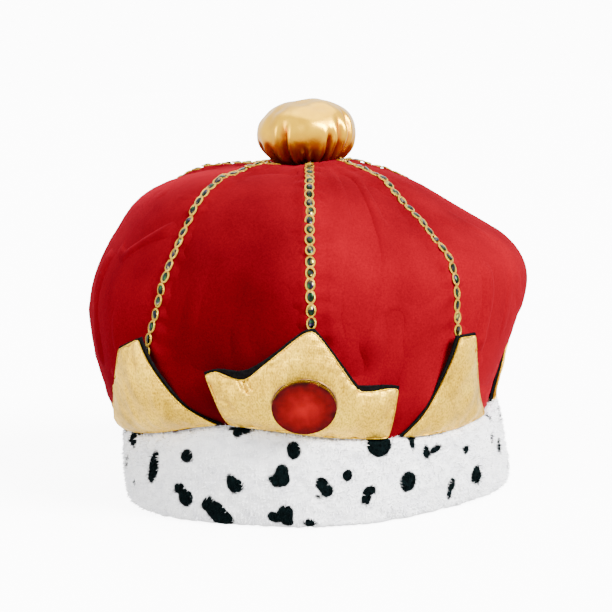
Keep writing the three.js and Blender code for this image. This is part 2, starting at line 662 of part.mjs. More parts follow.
const frontPair = pointPair("front", frontGrid(0), frontGrid(BACK_BORDER));
hat.add(...frontPair, stone(frontPair[0]));
PLAIN_POINTS.forEach((point) => {
  hat.add(...pointPair(point.name, plainGrid(point, 0), plainGrid(point, BACK_BORDER)));
});
SEAMS.forEach((seam, index) => {
  const plain = PLAIN_POINTS.find((point) => point.name === seam.name);
  const height = plain ? POINT_HEIGHT * plain.height : FRONT_HEIGHT;
  hat.add(braid(seam, index, CUFF_HEIGHT + height));
});
hat.add(goldBall());

export default hat;
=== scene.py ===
# A costume king's crown hat of red velvet, white plush and gold cloth, standing on its cuff.
# Metres, +Z up, front towards -Y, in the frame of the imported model. Azimuths are degrees round
# the hat, 0 at the front and 90 at +X.
import math

import bmesh
import bpy
import numpy as np
from mathutils import Matrix, Vector, kdtree
from mathutils.bvhtree import BVHTree


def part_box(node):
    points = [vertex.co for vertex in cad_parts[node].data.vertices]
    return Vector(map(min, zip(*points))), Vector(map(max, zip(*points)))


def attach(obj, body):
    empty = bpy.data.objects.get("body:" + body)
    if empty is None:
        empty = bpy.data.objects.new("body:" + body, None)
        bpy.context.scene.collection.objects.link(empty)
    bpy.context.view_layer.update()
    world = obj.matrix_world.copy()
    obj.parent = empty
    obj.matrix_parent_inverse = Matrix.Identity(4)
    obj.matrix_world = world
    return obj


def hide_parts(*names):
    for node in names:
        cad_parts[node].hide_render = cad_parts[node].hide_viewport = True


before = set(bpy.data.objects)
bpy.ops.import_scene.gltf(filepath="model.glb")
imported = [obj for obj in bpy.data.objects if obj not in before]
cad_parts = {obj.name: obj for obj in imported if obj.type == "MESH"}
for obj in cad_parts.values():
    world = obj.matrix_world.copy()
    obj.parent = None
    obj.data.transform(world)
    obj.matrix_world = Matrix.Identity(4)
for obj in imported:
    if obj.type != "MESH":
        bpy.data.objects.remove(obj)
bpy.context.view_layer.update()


# The velvet crown: eight gores of dark red cotton velvet sewn into one slack shell. The shell is
# the frame's own form, rounded, then blown and slackened as cloth between its seams, which stay
# put. It is puckered a little where the braids are sewn on, and creased as it hangs.
MERGE_DISTANCE = 0.00002
PAIRING_ANGLE = math.radians(60)
WAVES_ADDED = 9
CROWN_MIDDLE_HEIGHT = 0.095
HEM_DEPTH = 0.02
# How upright a flat face's normal is
FLAT_FACING = 0.9
# A braid has four corners at each step. They are put in order by their angle round a place 20 mm
# from the axis and 60 mm up.
BRAID_CORNERS = 4
BRAID_TURNS_AT = (0.02, 0.06)
SEAM_STEPS = 6
# The cloth is held this near a seam, below this height and this near the axis
SEAM_HOLD = 0.004
HEM_HOLD = 0.052
TOP_HOLD = 0.03
SETTLING_FRAMES = 24
VELVET_BULGE_LIMIT = 0.003
VELVET_PRESSURE = 4.0
VELVET_EVENING = 10
EVENING_SHARE = 0.6
VELVET_SPARE_CLOTH = 0.025
PUCKER_PITCH = 0.0105
PUCKER_DEPTH = 0.0007
PUCKER_REACH = 0.009
PUCKER_START = 0.003
PUCKER_SWAY = 2.4
SAG_DEPTH = 0.0007
# The swell beside a crease, as shares of its depth and width, and where creases fade at a seam
CREASE_SWELL = 0.4
CREASE_SWELL_AT = 1.4
CREASE_SPAN = 60
CREASE_FADE_FROM = 0.002
CREASE_FADE = 0.008
CHART_RADIUS = 108
# How deep a crease is where its painted shade is full
FULL_CREASE = 0.003
# Creases seen in the velvet, and more of their kind behind: azimuth in degrees and height in
# millimetres of one end, then of the other, depth and width in millimetres. A negative depth is
# a raised ridge.
VELVET_CREASES = [
    (24.0, 163, 20.0, 140, 2.6, 4.0),
    (19.6, 148, 17.0, 132, 2.6, 6.0),
    (17.0, 134, 11.5, 102, 3.2, 8.0),
    (11.5, 104, 9.8, 80, 2.2, 7.0),
    (21.0, 98, 20.4, 70, 2.1, 6.0),
    (33.5, 158, 31.0, 146, 1.4, 3.5),
    (-49.5, 152, -61, 138, 2.1, 4.0),
    (-43.0, 146, -58, 135, -1.26, 4.5),
    (-65.0, 122, -63.5, 84, 2.8, 6.5),
    (-73.0, 128, -72.0, 78, -1.4, 6.0),
    (53.0, 116, 51.0, 84, -1.68, 5.0),
    (60.0, 128, 58.0, 80, 2.38, 6.0),
    (-22.0, 120, -25.0, 90, 1.68, 8.0),
    (-8.0, 112, -11.0, 96, 1.26, 7.0),
    (72.0, 150, 77.0, 108, 2.24, 6.5),
    (88.0, 132, 86.0, 92, -1.68, 6.0),
    (101.0, 148, 104.0, 104, 2.2, 6.5),
    (126.0, 120, 124.0, 86, 1.96, 6.0),
    (152.0, 150, 149.0, 110, 2.24, 6.5),
    (163.0, 116, 166.0, 84, 1.82, 6.0),
    (190.0, 146, 194.0, 104, 2.38, 6.5),
    (205.0, 118, 203.0, 86, -1.54, 6.0),
    (229.0, 148, 232.0, 104, 2.52, 6.5),
    (243.0, 122, 241.0, 84, 1.82, 6.0),
    (264.0, 150, 268.0, 110, 2.1, 6.5),
    (277.0, 128, 274.0, 86, 2.24, 6.5),
]


def deselect():
    bpy.ops.object.select_all(action="DESELECT")


def activate(piece):
    deselect()
    piece.select_set(True)
    bpy.context.view_layer.objects.active = piece


def merged_copy(node, name):
    """A loose copy of a node's mesh with its corners joined and its triangles paired."""
    copy = bpy.data.objects.new(name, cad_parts[node].data.copy())
    copy.data.name = name
    copy.data.materials.clear()
    bpy.context.scene.collection.objects.link(copy)
    activate(copy)
    bpy.ops.object.mode_set(mode="EDIT")
    bpy.ops.mesh.select_all(action="SELECT")
    bpy.ops.mesh.remove_doubles(threshold=MERGE_DISTANCE)
    bpy.ops.mesh.tris_convert_to_quads(face_threshold=PAIRING_ANGLE, shape_threshold=PAIRING_ANGLE)
    bpy.ops.object.mode_set(mode="OBJECT")
    return copy


def delete_faces(piece, unwanted):
    """Deletes the faces for which unwanted(centre, normal) is true."""
    mesh = bmesh.new()
    mesh.from_mesh(piece.data)
    doomed = [face for face in mesh.faces if unwanted(face.calc_center_median(), face.normal)]
    bmesh.ops.delete(mesh, geom=doomed, context="FACES")
    mesh.to_mesh(piece.data)
    mesh.free()


def subdivide_smooth(piece, levels):
    activate(piece)
    round_off = piece.modifiers.new("round", "SUBSURF")
    round_off.levels = levels
    round_off.render_levels = levels
    bpy.ops.object.modifier_apply(modifier="round")


def read_values(items, name, width):
    """One row of numbers for each item of a mesh."""
    values = np.empty(len(items) * width)
    items.foreach_get(name, values)
    return values.reshape(-1, width)


def places(piece):
    return read_values(piece.data.vertices, "co", 3)


def normals(piece):
    return read_values(piece.data.vertices, "normal", 3)


def put_places(piece, values):
    piece.data.vertices.foreach_set("co", np.ascontiguousarray(values).ravel())
    piece.data.update()


def put_value(piece, name, values):
    """Keeps a number with each vertex, for the materials to read."""
    layer = piece.data.attributes.new(name, "FLOAT", "POINT")
    layer.data.foreach_set("value", np.ascontiguousarray(values, dtype=np.float32))


def azimuths(points):
    return np.degrees(np.arctan2(points[:, 0], -points[:, 1]))


def waves(points, size, seed, octaves=2):
    """Soft seeded unevenness between about -1 and 1, with bumps of the given size."""
    chance = np.random.default_rng(seed)
    total = np.zeros(len(points))
    share = 0.0
    for octave in range(octaves):
        strength = 0.5**octave
        for _ in range(WAVES_ADDED):
            direction = chance.normal(size=3)
            direction /= np.linalg.norm(direction)
            pace = 2 * math.pi * 2**octave / size * chance.uniform(0.7, 1.3)
            total += strength * np.sin(points @ direction * pace + chance.uniform(0, 2 * math.pi))
        share += strength
    return total / (share * math.sqrt(WAVES_ADDED))


def braid_line(name):
    """Places along the middle of a braid, from the point's tip to the ball."""
    mesh = bmesh.new()
    mesh.from_mesh(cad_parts[name].data)
    bmesh.ops.remove_doubles(mesh, verts=mesh.verts, dist=MERGE_DISTANCE)
    out, up = BRAID_TURNS_AT
    corners = sorted(
        (vert.co.copy() for vert in mesh.verts),
        key=lambda place: math.atan2(place.z - up, math.hypot(place.x, place.y) - out),
    )
    mesh.free()
    starts = range(0, len(corners), BRAID_CORNERS)
    return [sum(corners[at : at + BRAID_CORNERS], Vector()) / BRAID_CORNERS for at in starts]


seam_names = ["front", "front_right", "right", "back_right", "back", "back_left", "left", "front_left"]
seam_lines = {name: braid_line(f"{name}_braid") for name in seam_names}

velvet = merged_copy("velvet_crown", "velvet_outside")
lining_side = merged_copy("velvet_crown", "velvet_underside")
crown_middle = Vector((0, 0, CROWN_MIDDLE_HEIGHT))
hem_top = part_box("velvet_crown")[0][2] + HEM_DEPTH


def is_outer(centre, normal):
    flat_hem = normal.z < -FLAT_FACING and centre.z < hem_top
    return normal.dot(centre - crown_middle) > 0 and not flat_hem


delete_faces(velvet, lambda centre, normal: not is_outer(centre, normal))
delete_faces(lining_side, is_outer)
subdivide_smooth(velvet, 2)
subdivide_smooth(lining_side, 1)


def seam_distance(points):
    """How far each point is from the nearest braid's middle, and how far along that braid."""
    samples = []
    for line in seam_lines.values():
        run = 0.0
        for start, end in zip(line, line[1:]):
            length = (end - start).length
            for step in range(SEAM_STEPS):
                share = step / SEAM_STEPS
                samples.append((start.lerp(end, share), run + length * share))
            run += length
    tree = kdtree.KDTree(len(samples))
    for index, (place, _) in enumerate(samples):
        tree.insert(place, index)
    tree.balance()
    found = [tree.find(Vector(point)) for point in points]
    return np.array([hit[2] for hit in found]), np.array([samples[hit[1]][1] for hit in found])


rest = places(velvet)
distance, _ = seam_distance(rest)
height = rest[:, 2]
radius = np.hypot(rest[:, 0], rest[:, 1])
hold = velvet.vertex_groups.new(name="hold")
held = (distance < SEAM_HOLD) | (height < HEM_HOLD) | (radius < TOP_HOLD)
for index in np.flatnonzero(held):
    hold.add([int(index)], 1.0, "REPLACE")
cloth = velvet.modifiers.new("slack", "CLOTH")
cloth.settings.quality = 5
cloth.settings.mass = 0.25
cloth.settings.tension_stiffness = 12
cloth.settings.compression_stiffness = 12
cloth.settings.shear_stiffness = 5
cloth.settings.bending_stiffness = 0.6
cloth.settings.air_damping = 3
cloth.settings.use_pressure = True
cloth.settings.uniform_pressure_force = VELVET_PRESSURE
cloth.settings.shrink_min = -VELVET_SPARE_CLOTH
cloth.settings.shrink_max = -VELVET_SPARE_CLOTH
cloth.settings.vertex_group_mass = "hold"
cloth.settings.effector_weights.gravity = 0.4
cloth.point_cache.frame_start = 1
cloth.point_cache.frame_end = SETTLING_FRAMES
for step in range(1, SETTLING_FRAMES + 1):
    bpy.context.scene.frame_set(step)
activate(velvet)
bpy.ops.object.modifier_apply(modifier="slack")
bpy.context.scene.frame_set(1)
moved = places(velvet) - rest
ends = np.array([edge.vertices[:] for edge in velvet.data.edges])
sides = np.concatenate([ends, ends[:, ::-1]])
meeting = np.bincount(sides[:, 0], minlength=len(moved))[:, None]
for _ in range(VELVET_EVENING):
    near = np.zeros_like(moved)
    np.add.at(near, sides[:, 0], moved[sides[:, 1]])
    moved = (1 - EVENING_SHARE) * moved + EVENING_SHARE * near / meeting
length = np.linalg.norm(moved, axis=1, keepdims=True)
limit = VELVET_BULGE_LIMIT * np.tanh(length / VELVET_BULGE_LIMIT) / np.maximum(length, 1e-9)
put_places(velvet, rest + moved * limit)
velvet.vertex_groups.clear()

subdivide_smooth(velvet, 1)
skin = places(velvet)
distance, along = seam_distance(skin)
beside = 1 - np.exp(-((distance / PUCKER_START) ** 2))
pucker = np.exp(-((distance / PUCKER_REACH) ** 2)) * beside
ripple = np.sin(along / PUCKER_PITCH * 2 * math.pi + PUCKER_SWAY * waves(skin, size=0.03, seed=5))
sag = SAG_DEPTH * waves(skin, size=0.035, seed=11)


def crease_depth(points, chart):
    """Soft valleys along charted lines, with a low swell on both sides of each, in metres."""
    total = np.zeros(len(points))
    radius = np.hypot(points[:, 0], points[:, 1]) * 1000
    azimuth = azimuths(points)
    for azimuth_a, height_a, azimuth_b, height_b, depth, width in chart:
        turn = (azimuth - azimuth_a + 180) % 360 - 180
        across = np.radians(turn) * radius
        up_from = points[:, 2] * 1000 - height_a
        end = np.array([math.radians(azimuth_b - azimuth_a) * CHART_RADIUS, height_b - height_a])
        share = np.clip((across * end[0] + up_from * end[1]) / (end @ end), 0, 1)
        gap = np.hypot(across - share * end[0], up_from - share * end[1])
        hollow = np.exp(-((gap / width) ** 2))
        swell = np.exp(-(((gap - CREASE_SWELL_AT * width) / width) ** 2))
        total += depth / 1000 * (CREASE_SWELL * swell - hollow) * (np.abs(turn) < CREASE_SPAN)
    return total


clear_of_seam = np.clip((distance - CREASE_FADE_FROM) / CREASE_FADE, 0, 1)
creases = crease_depth(skin, VELVET_CREASES) * clear_of_seam
# The creases' depth is kept for the painted shade in them.
put_value(velvet, "painted_crease_shade_mask", np.clip(-creases / FULL_CREASE, 0, 1))
lift = PUCKER_DEPTH * pucker * ripple + sag + creases
put_places(velvet, skin + normals(velvet) * lift[:, None])

activate(velvet)
lining_side.select_set(True)
bpy.ops.object.join()
velvet.name = "velvet"
velvet.data.name = "velvet"
bpy.ops.object.shade_smooth()


def new_material(name, **sockets):
    """A node material, with plain values on the shader's own sockets."""
    material = bpy.data.materials.new(name)
    material.use_nodes = True
    shader = material.node_tree.nodes["Principled BSDF"]
    for socket, value in sockets.items():
        shader.inputs[socket.replace("_", " ")].default_value = value
    return material


def node(material, kind, **values):
    """A node with its properties or, for names that are sockets, its inputs set."""
    made = material.node_tree.nodes.new(kind)
    for key, value in values.items():
        if key in made.bl_rna.properties:
            setattr(made, key, value)
        else:
            made.inputs[key.replace("_", " ")].default_value = value
    return made


def join_nodes(material, source, target):
    material.node_tree.links.new(source, target)


def noise_from(material, scale, detail=3.0, roughness=0.55, stretch=(1, 1, 1)):
    """Noise on the piece's own coordinates, with scale in bumps a metre."""
    coordinates = node(material, "ShaderNodeTexCoord")
    mapping = node(material, "ShaderNodeMapping")
    mapping.inputs["Scale"].default_value = stretch
    join_nodes(material, coordinates.outputs["Object"], mapping.inputs["Vector"])
    noise = node(material, "ShaderNodeTexNoise", Scale=scale, Detail=detail, Roughness=roughness)
    join_nodes(material, mapping.outputs["Vector"], noise.inputs["Vector"])
    return noise.outputs["Fac"]


def ramp_of(material, source, *stops):
    ramp = node(material, "ShaderNodeValToRGB")
    while len(ramp.color_ramp.elements) < len(stops):
        ramp.color_ramp.elements.new(0.5)
    for element, (place, colour) in zip(ramp.color_ramp.elements, stops):
        element.position = place
        element.color = (*colour, 1)
    join_nodes(material, source, ramp.inputs["Fac"])
    return ramp.outputs["Color"]


def mix_colours(material, share, first, second, blend="MIX"):
    mix = node(material, "ShaderNodeMix", data_type="RGBA", blend_type=blend)
    for place, value in ((0, share), (6, first), (7, second)):
        if isinstance(value, bpy.types.NodeSocket):
            join_nodes(material, value, mix.inputs[place])
        elif place == 0:
            mix.inputs[0].default_value = value
        else:
            mix.inputs[place].default_value = (*value, 1)
    return mix.outputs[2]


def bumpy(material, *layers):
    """Stacks bumps, each a (source, height in metres, strength), on the shader's normal."""
    last = None
    for source, height, strength in layers:
        bump = node(material, "ShaderNodeBump", Strength=strength, Distance=height)
        join_nodes(material, source, bump.inputs["Height"])
        if last is not None:
            join_nodes(material, last, bump.inputs["Normal"])
        last = bump.outputs["Normal"]
    join_nodes(material, last, material.node_tree.nodes["Principled BSDF"].inputs["Normal"])


def colour_from(material, source):
    join_nodes(material, source, material.node_tree.nodes["Principled BSDF"].inputs["Base Color"])


def attribute_of(material, name):
    return node(material, "ShaderNodeAttribute", attribute_name=name).outputs["Fac"]


# How bright each gore is painted: partly its pile, which runs up or down, and partly painted
# shade, darkest on the front-left gore, which faces away from the key light. The first lies right
# of the front seam. Painted light and shade even it out towards the top, painted light lifts it
# beside the seams and painted shade darkens it in the creases. It changes within NAP_CHANGE
# degrees, a little to the left of each braid's middle.
GORE_NAP_AND_SHADE = [0.82, 1.0, 0.75, 0.9, 0.7, 0.88, 0.68, 0.2]
NAP_CHANGE = 1.6
NAP_SHIFT = 0.003
PAINTED_TOP_LIGHT = 0.62
PAINTED_TOP_LIGHT_FROM = 0.135
PAINTED_TOP_LIGHT_RISE = 0.035
PAINTED_SEAM_LIGHT = 0.5
PAINTED_SEAM_LIGHT_REACH = 0.014
PAINTED_SEAM_LIGHT_SHARE = 0.7
PAINTED_CREASE_SHADE = 0.6


def gore_nap_and_shade(points):
    """The brightness of the gore that each point lies in, partly its pile and partly painted shade,
    changing under the braids.
    """
    azimuth = azimuths(points) % 360
    edges = []
    for name in seam_names:
        line = seam_lines[name]
        levels = [place.z for place in line]
        angles = [math.atan2(place.x - NAP_SHIFT, -place.y) for place in line]
        turns = np.degrees(np.unwrap(angles))
        turns = turns % 360 if name != "front" else turns
        edges.append(np.interp(points[:, 2], levels, turns))
    value = np.full(len(points), GORE_NAP_AND_SHADE[-1])
    for gore, edge in zip(GORE_NAP_AND_SHADE + GORE_NAP_AND_SHADE[:1], edges + [edges[0] + 360]):
        passed = np.clip((azimuth - edge) / NAP_CHANGE + 0.5, 0, 1)
        value = value + (gore - value) * passed
    return value


skin = places(velvet)
nap_and_painted_light = gore_nap_and_shade(skin)
# Painted light and shade: the gores are evened out towards the top.
nap_and_painted_light += (PAINTED_TOP_LIGHT - nap_and_painted_light) * np.clip((skin[:, 2] - PAINTED_TOP_LIGHT_FROM) / PAINTED_TOP_LIGHT_RISE, 0, 1)
# Painted light beside the seams, on the gores that are darker.
painted_seam_light_mask = np.exp(-((seam_distance(skin)[0] / PAINTED_SEAM_LIGHT_REACH) ** 2))
nap_and_painted_light += (PAINTED_SEAM_LIGHT - nap_and_painted_light) * painted_seam_light_mask * (nap_and_painted_light < PAINTED_SEAM_LIGHT) * PAINTED_SEAM_LIGHT_SHARE
painted_crease_shade_mask = read_values(velvet.data.attributes["painted_crease_shade_mask"].data, "value", 1)[:, 0]
# Painted shade in the creases.
nap_and_painted_light *= 1 - PAINTED_CREASE_SHADE * painted_crease_shade_mask
put_value(velvet, "nap_and_painted_light", nap_and_painted_light)
red_velvet = new_material(
    "red_velvet",
    Roughness=0.95,
    Specular_IOR_Level=0.02,
    Sheen_Weight=0.22,
    Sheen_Roughness=0.32,
    Sheen_Tint=(1.0, 0.02, 0.07, 1),
)
brushed = ramp_of(
    red_velvet,
    noise_from(red_velvet, 16, 3, 0.6, (1, 1, 0.6)),
    (0.32, (0.12, 0.0001, 0.0035)),
    (0.52, (0.18, 0.0002, 0.0052)),
    (0.74, (0.24, 0.0003, 0.0068)),
)
pile_grain = ramp_of(
    red_velvet,
    noise_from(red_velvet, 900, 2, 0.7),
    (0.25, (0.72, 0.72, 0.72)),
    (0.75, (1.0, 1.0, 1.0)),
)
# The gores' brightness, partly pile and partly painted light and shade, scales the red.
nap_and_painted_light_tone = ramp_of(
    red_velvet,
    attribute_of(red_velvet, "nap_and_painted_light"),
    (0.0, (0.3, 0.3, 0.3)),
    (1.0, (1.0, 1.0, 1.0)),
)
lit_pile = mix_colours(red_velvet, 1.0, brushed, pile_grain, "MULTIPLY")
colour_from(red_velvet, mix_colours(red_velvet, 1.0, lit_pile, nap_and_painted_light_tone, "MULTIPLY"))
bumpy(
    red_velvet,
    (noise_from(red_velvet, 70, 3, 0.6), 0.0012, 0.35),
    (noise_from(red_velvet, 1100, 2, 0.7), 0.0003, 0.35),
)
velvet.data.materials.clear()
velvet.data.materials.append(red_velvet)
for face in velvet.data.polygons:
    face.material_index = 0
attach(velvet, "root")
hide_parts("velvet_crown")


# The cuff: a tube of short white plush, stuffed and sewn under the velvet, printed with the black
# tails of mock ermine. The spots are charted round the hat; their edges run into the pile.
CUFF_LUMP = 0.0006
FLOOR_GAP = 0.0002
SPOT_FUZZ = 0.45
SPOT_FUZZ_SPREAD = 0.35
# In millimetres: how ragged the edges are, how far two rows run together, how far depths count
SPOT_RAGGED = 0.3
SPOT_BLEND = 1.6
SPOT_REACH = 6.0
# No spot shows on the cuff's inside, nearer the axis than this
CUFF_INSIDE = 0.0965
INSIDE_FADE = 4
INSIDE_LOSS = 3
# Azimuth in degrees, height, width and length in millimetres, lean in degrees. Spots with a
# bent or pointed shape have two or three rows.
SPOT_CHART = [
    (-68.1, 36.0, 11.5, 9.5, 0),
    (-53.1, 25.6, 8.4, 17.3, 22),
    (-38.8, 33.8, 7.5, 6.4, -22),
    (-42.5, 16.9, 6.6, 5.4, 5),
    (-40.4, 12.4, 8.6, 8.4, -19),
    (-33.0, 10.5, 8.0, 6.0, -49),
    (-30.1, 6.3, 10.4, 15.0, -44),
    (-27.7, 3.3, 9.0, 8.3, -37),
    (-24.4, 21.8, 6.4, 8.6, -4),
    (-22.7, 20.9, 6.4, 6.0, 4),
    (-9.6, 28.1, 6.4, 8.1, 22),
    (-10.1, 24.5, 9.6, 7.0, -5),
    (-12.9, 25.5, 1.3, 1.9, 32),
    (-6.0, 38.8, 6.9, 8.3, -13),
    (-9.0, 7.9, 7.8, 7.9, 3),
    (-12.3, 5.7, 7.2, 5.2, 14),
    (-8.6, 4.0, 6.0, 4.9, 4),
    (-2.4, 3.2, 5.3, 3.8, 3),
    (-21.4, 48.8, 12.0, 3.8, 8),
    (-22.2, 46.9, 4.6, 3.3, 2),
    (1.4, 21.8, 6.1, 6.9, -22),
    (2.6, 18.7, 6.1, 5.9, 3),
    (0.1, 15.8, 2.3, 1.5, 22),
    (8.2, 25.4, 4.9, 5.1, 3),
    (14.2, 16.7, 6.3, 5.0, -13),
    (13.2, 13.3, 5.2, 5.8, 18),
    (17.8, 39.2, 12.4, 12.4, 0),
    (28.3, 41.0, 4.8, 5.4, 0),
    (27.8, 37.2, 2.7, 4.6, -6),
    (32.6, 31.7, 6.6, 3.6, 80),
    (35.7, 32.5, 3.2, 7.0, 73),
    (48.2, 28.5, 4.6, 4.3, 35),
    (26.0, 18.7, 8.6, 10.0, 14),
    (42.0, 12.6, 5.2, 5.8, 8),
    (41.6, 8.1, 2.5, 4.8, 3),
    (53.0, 14.1, 8.6, 9.2, 22),
    (70.2, 22.9, 7.4, 7.6, -12),
    (64.9, 39.6, 2.6, 3.6, 20),
    (63.7, 28.7, 3.2, 4.5, 10),
    (-73.4, 24.4, 4.2, 1.9, 0),
    (-65.5, 14.3, 3.6, 2.5, 5),
    (79.5, 36.0, 8.6, 7.4, 15),
    (83.0, 10.8, 9.4, 6.8, -30),
    (86.5, 8.2, 5.6, 6.4, 10),
    (92.0, 25.0, 6.2, 11.8, -18),
    (101.0, 38.4, 10.8, 6.0, 8),
    (104.5, 15.0, 8.8, 9.4, 0),
    (108.0, 12.6, 6.0, 7.2, -25),
    (114.0, 29.4, 7.2, 7.0, 0),
    (121.5, 7.4, 12.6, 6.6, 12),
    (125.0, 39.0, 6.0, 8.8, 24),
    (129.5, 21.6, 8.2, 12.2, -34),
    (132.6, 18.4, 6.2, 7.0, -10),
    (139.0, 33.6, 9.6, 7.0, 0),
    (144.0, 8.4, 7.4, 7.8, 20),
    (150.5, 24.0, 6.6, 6.4, 0),
    (156.0, 40.2, 9.8, 7.2, -12),
    (159.5, 11.0, 10.6, 8.0, 30),
    (163.0, 8.4, 6.0, 5.2, 0),
    (167.0, 28.0, 7.6, 12.4, 14),
    (175.5, 17.0, 5.2, 5.4, 0),
    (180.5, 38.0, 11.4, 6.4, -6),
    (184.0, 6.8, 9.6, 7.0, 10),
    (189.5, 25.6, 9.4, 9.8, 0),
    (192.6, 22.8, 5.8, 6.6, -30),
    (199.5, 12.2, 7.2, 10.4, 28),
    (204.0, 37.0, 7.8, 9.0, -16),
    (210.5, 23.0, 6.0, 5.6, 0),
    (215.5, 8.0, 11.6, 7.4, -14),
    (219.0, 6.4, 6.0, 5.0, 0),
    (222.5, 33.2, 10.8, 7.6, 18),
    (230.0, 17.8, 8.2, 10.8, -22),
    (237.5, 39.4, 6.8, 6.2, 0),
    (242.0, 9.6, 9.0, 7.0, 32),
    (247.5, 26.6, 8.4, 11.4, 10),
    (250.4, 23.4, 5.8, 6.4, 0),
    (257.0, 38.0, 10.2, 6.6, -10),
    (261.5, 13.0, 6.8, 8.8, 18),
    (270.0, 29.0, 7.4, 7.2, 0),
    (276.0, 8.6, 10.4, 7.2, -24),
    (281.0, 38.8, 7.8, 8.2, 6),
    (284.5, 21.0, 5.4, 5.8, 0),
]

cuff = merged_copy("ermine_cuff", "plush_cuff")
subdivide_smooth(cuff, 3)
plush_skin = places(cuff)
broad_lumps = waves(plush_skin, size=0.018, seed=21, octaves=3)
small_lumps = waves(plush_skin, size=0.006, seed=22)
lumps = CUFF_LUMP * (broad_lumps + 0.5 * small_lumps)
plush_skin = plush_skin + normals(cuff) * lumps[:, None]
plush_skin[:, 2] = np.maximum(plush_skin[:, 2], FLOOR_GAP)
put_places(cuff, plush_skin)


def spot_depth(points):
    """How far inside the nearest spot each point is, in millimetres, negative outside."""
    azimuth = np.arctan2(points[:, 0], -points[:, 1])
    radius = np.hypot(points[:, 0], points[:, 1])
    ragged = SPOT_RAGGED * (1 + waves(points, size=0.005, seed=31))
    depth = np.full(len(points), -SPOT_REACH)
    for centre, height, width, length, lean in SPOT_CHART:
        turn = (azimuth - math.radians(centre) + math.pi) % (2 * math.pi) - math.pi
        across = turn * radius * 1000
        up_from = points[:, 2] * 1000 - height
        lean = math.radians(lean)
        side = (across * math.cos(lean) - up_from * math.sin(lean)) / (width / 2)
        rise_from = (across * math.sin(lean) + up_from * math.cos(lean)) / (length / 2)
        reach = np.sqrt(side**2 + rise_from**2)
        inside = (1 - reach) * min(width, length) / 2
        meet = np.clip(0.5 + (depth - inside) / SPOT_BLEND, 0, 1)
        depth = inside + (depth - inside) * meet + SPOT_BLEND / 2 * meet * (1 - meet)
    inside_wall = np.clip((CUFF_INSIDE - radius) * 1000, 0, INSIDE_FADE)
    return np.clip(depth + ragged, -SPOT_REACH, SPOT_REACH) - INSIDE_LOSS * inside_wall


put_value(cuff, "spot", spot_depth(plush_skin))
activate(cuff)
bpy.ops.object.shade_smooth()


def sum_of(material, first, second, scale):
    """first + second * scale, for two sockets."""
    total = node(material, "ShaderNodeMath", operation="MULTIPLY_ADD")
    join_nodes(material, second, total.inputs[0])
    total.inputs[1].default_value = scale
    join_nodes(material, first, total.inputs[2])
    return total.outputs[0]


def between(material, source, low, high):
    """0 below low and 1 above high."""
    spread = node(material, "ShaderNodeMapRange")
    spread.inputs["From Min"].default_value = low
    spread.inputs["From Max"].default_value = high
    join_nodes(material, source, spread.inputs["Value"])
    return spread.outputs["Result"]


def plush_material(name):
    """White pile, black where the piece's spot value says so, with a fuzzy edge between."""
    material = new_material(name, Roughness=0.95, Specular_IOR_Level=0.03)
    snow = ramp_of(
        material,
        noise_from(material, 130, 4, 0.7),
        (0.3, (0.83, 0.83, 0.86)),
        (0.55, (0.97, 0.97, 0.975)),
    )
    soot = ramp_of(
        material,
        noise_from(material, 500, 3, 0.7),
        (0.35, (0.0004, 0.0012, 0.0014)),
        (0.75, (0.002, 0.006, 0.0065)),
    )
    fine = noise_from(material, 900, 3, 0.7)
    edge = sum_of(material, attribute_of(material, "spot"), fine, 2 * SPOT_FUZZ)
    share = between(material, edge, SPOT_FUZZ - SPOT_FUZZ_SPREAD, SPOT_FUZZ + SPOT_FUZZ_SPREAD)
    colour_from(material, mix_colours(material, share, snow, soot))
    bumpy(
        material,
        (noise_from(material, 200, 4, 0.7), 0.0012, 0.4),
        (noise_from(material, 1300, 2, 0.7), 0.0004, 0.4),
    )
    return material


cuff.data.materials.append(plush_material("white_plush"))
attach(cuff, "root")
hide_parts("ermine_cuff")


# The pile: tufts of white and black fibre that stand out of the plush all round its outside, so
# that its edges are soft. One tuft is a thin three-sided spike, set thousands of times.
TUFT_COUNT = 26000
TUFT_LENGTH = 0.0019
TUFT_LENGTH_RANGE = (0.55, 1.1)
TUFT_WIDTH = 0.00032
TUFT_SCATTER = 0.0003
TUFT_LEAN = 0.45
TUFT_DROOP = 0.2
TUFT_ROOT = 0.0004
# Where the three sides of a tuft stand round it, in radians
TUFT_TURNS = (0, 2.0944, 4.18879)
# Tufts grow on faces that look outward by this share, above this height
TUFT_FACING = 0.2
TUFT_FLOOR = 0.0015
chance = np.random.default_rng(77)
centres = read_values(cuff.data.polygons, "center", 3)
facing = read_values(cuff.data.polygons, "normal", 3)
areas = read_values(cuff.data.polygons, "area", 1)[:, 0]
outward = centres[:, 0] * facing[:, 0] + centres[:, 1] * facing[:, 1]
looks_out = outward > TUFT_FACING * np.hypot(centres[:, 0], centres[:, 1])
wanted = looks_out & (centres[:, 2] > TUFT_FLOOR)
odds = np.where(wanted, areas, 0)
chosen = chance.choice(len(centres), TUFT_COUNT, p=odds / odds.sum())
roots = centres[chosen] + chance.normal(scale=TUFT_SCATTER, size=(TUFT_COUNT, 3))
lean = facing[chosen] + chance.normal(scale=TUFT_LEAN, size=(TUFT_COUNT, 3))
lean -= np.array([0, 0, TUFT_DROOP])
lean /= np.linalg.norm(lean, axis=1, keepdims=True)
lengths = TUFT_LENGTH * chance.uniform(*TUFT_LENGTH_RANGE, TUFT_COUNT)
tips = roots + lean * lengths[:, None]
tips[:, 2] = np.maximum(tips[:, 2], FLOOR_GAP)
side = np.cross(lean, chance.normal(size=(TUFT_COUNT, 3)))
side /= np.linalg.norm(side, axis=1, keepdims=True)
other = np.cross(lean, side)
roots -= lean * TUFT_ROOT
corners = [
    roots + TUFT_WIDTH * (math.cos(turn) * side + math.sin(turn) * other) for turn in TUFT_TURNS
]
tuft_places = np.stack([*corners, tips], axis=1).reshape(-1, 3)
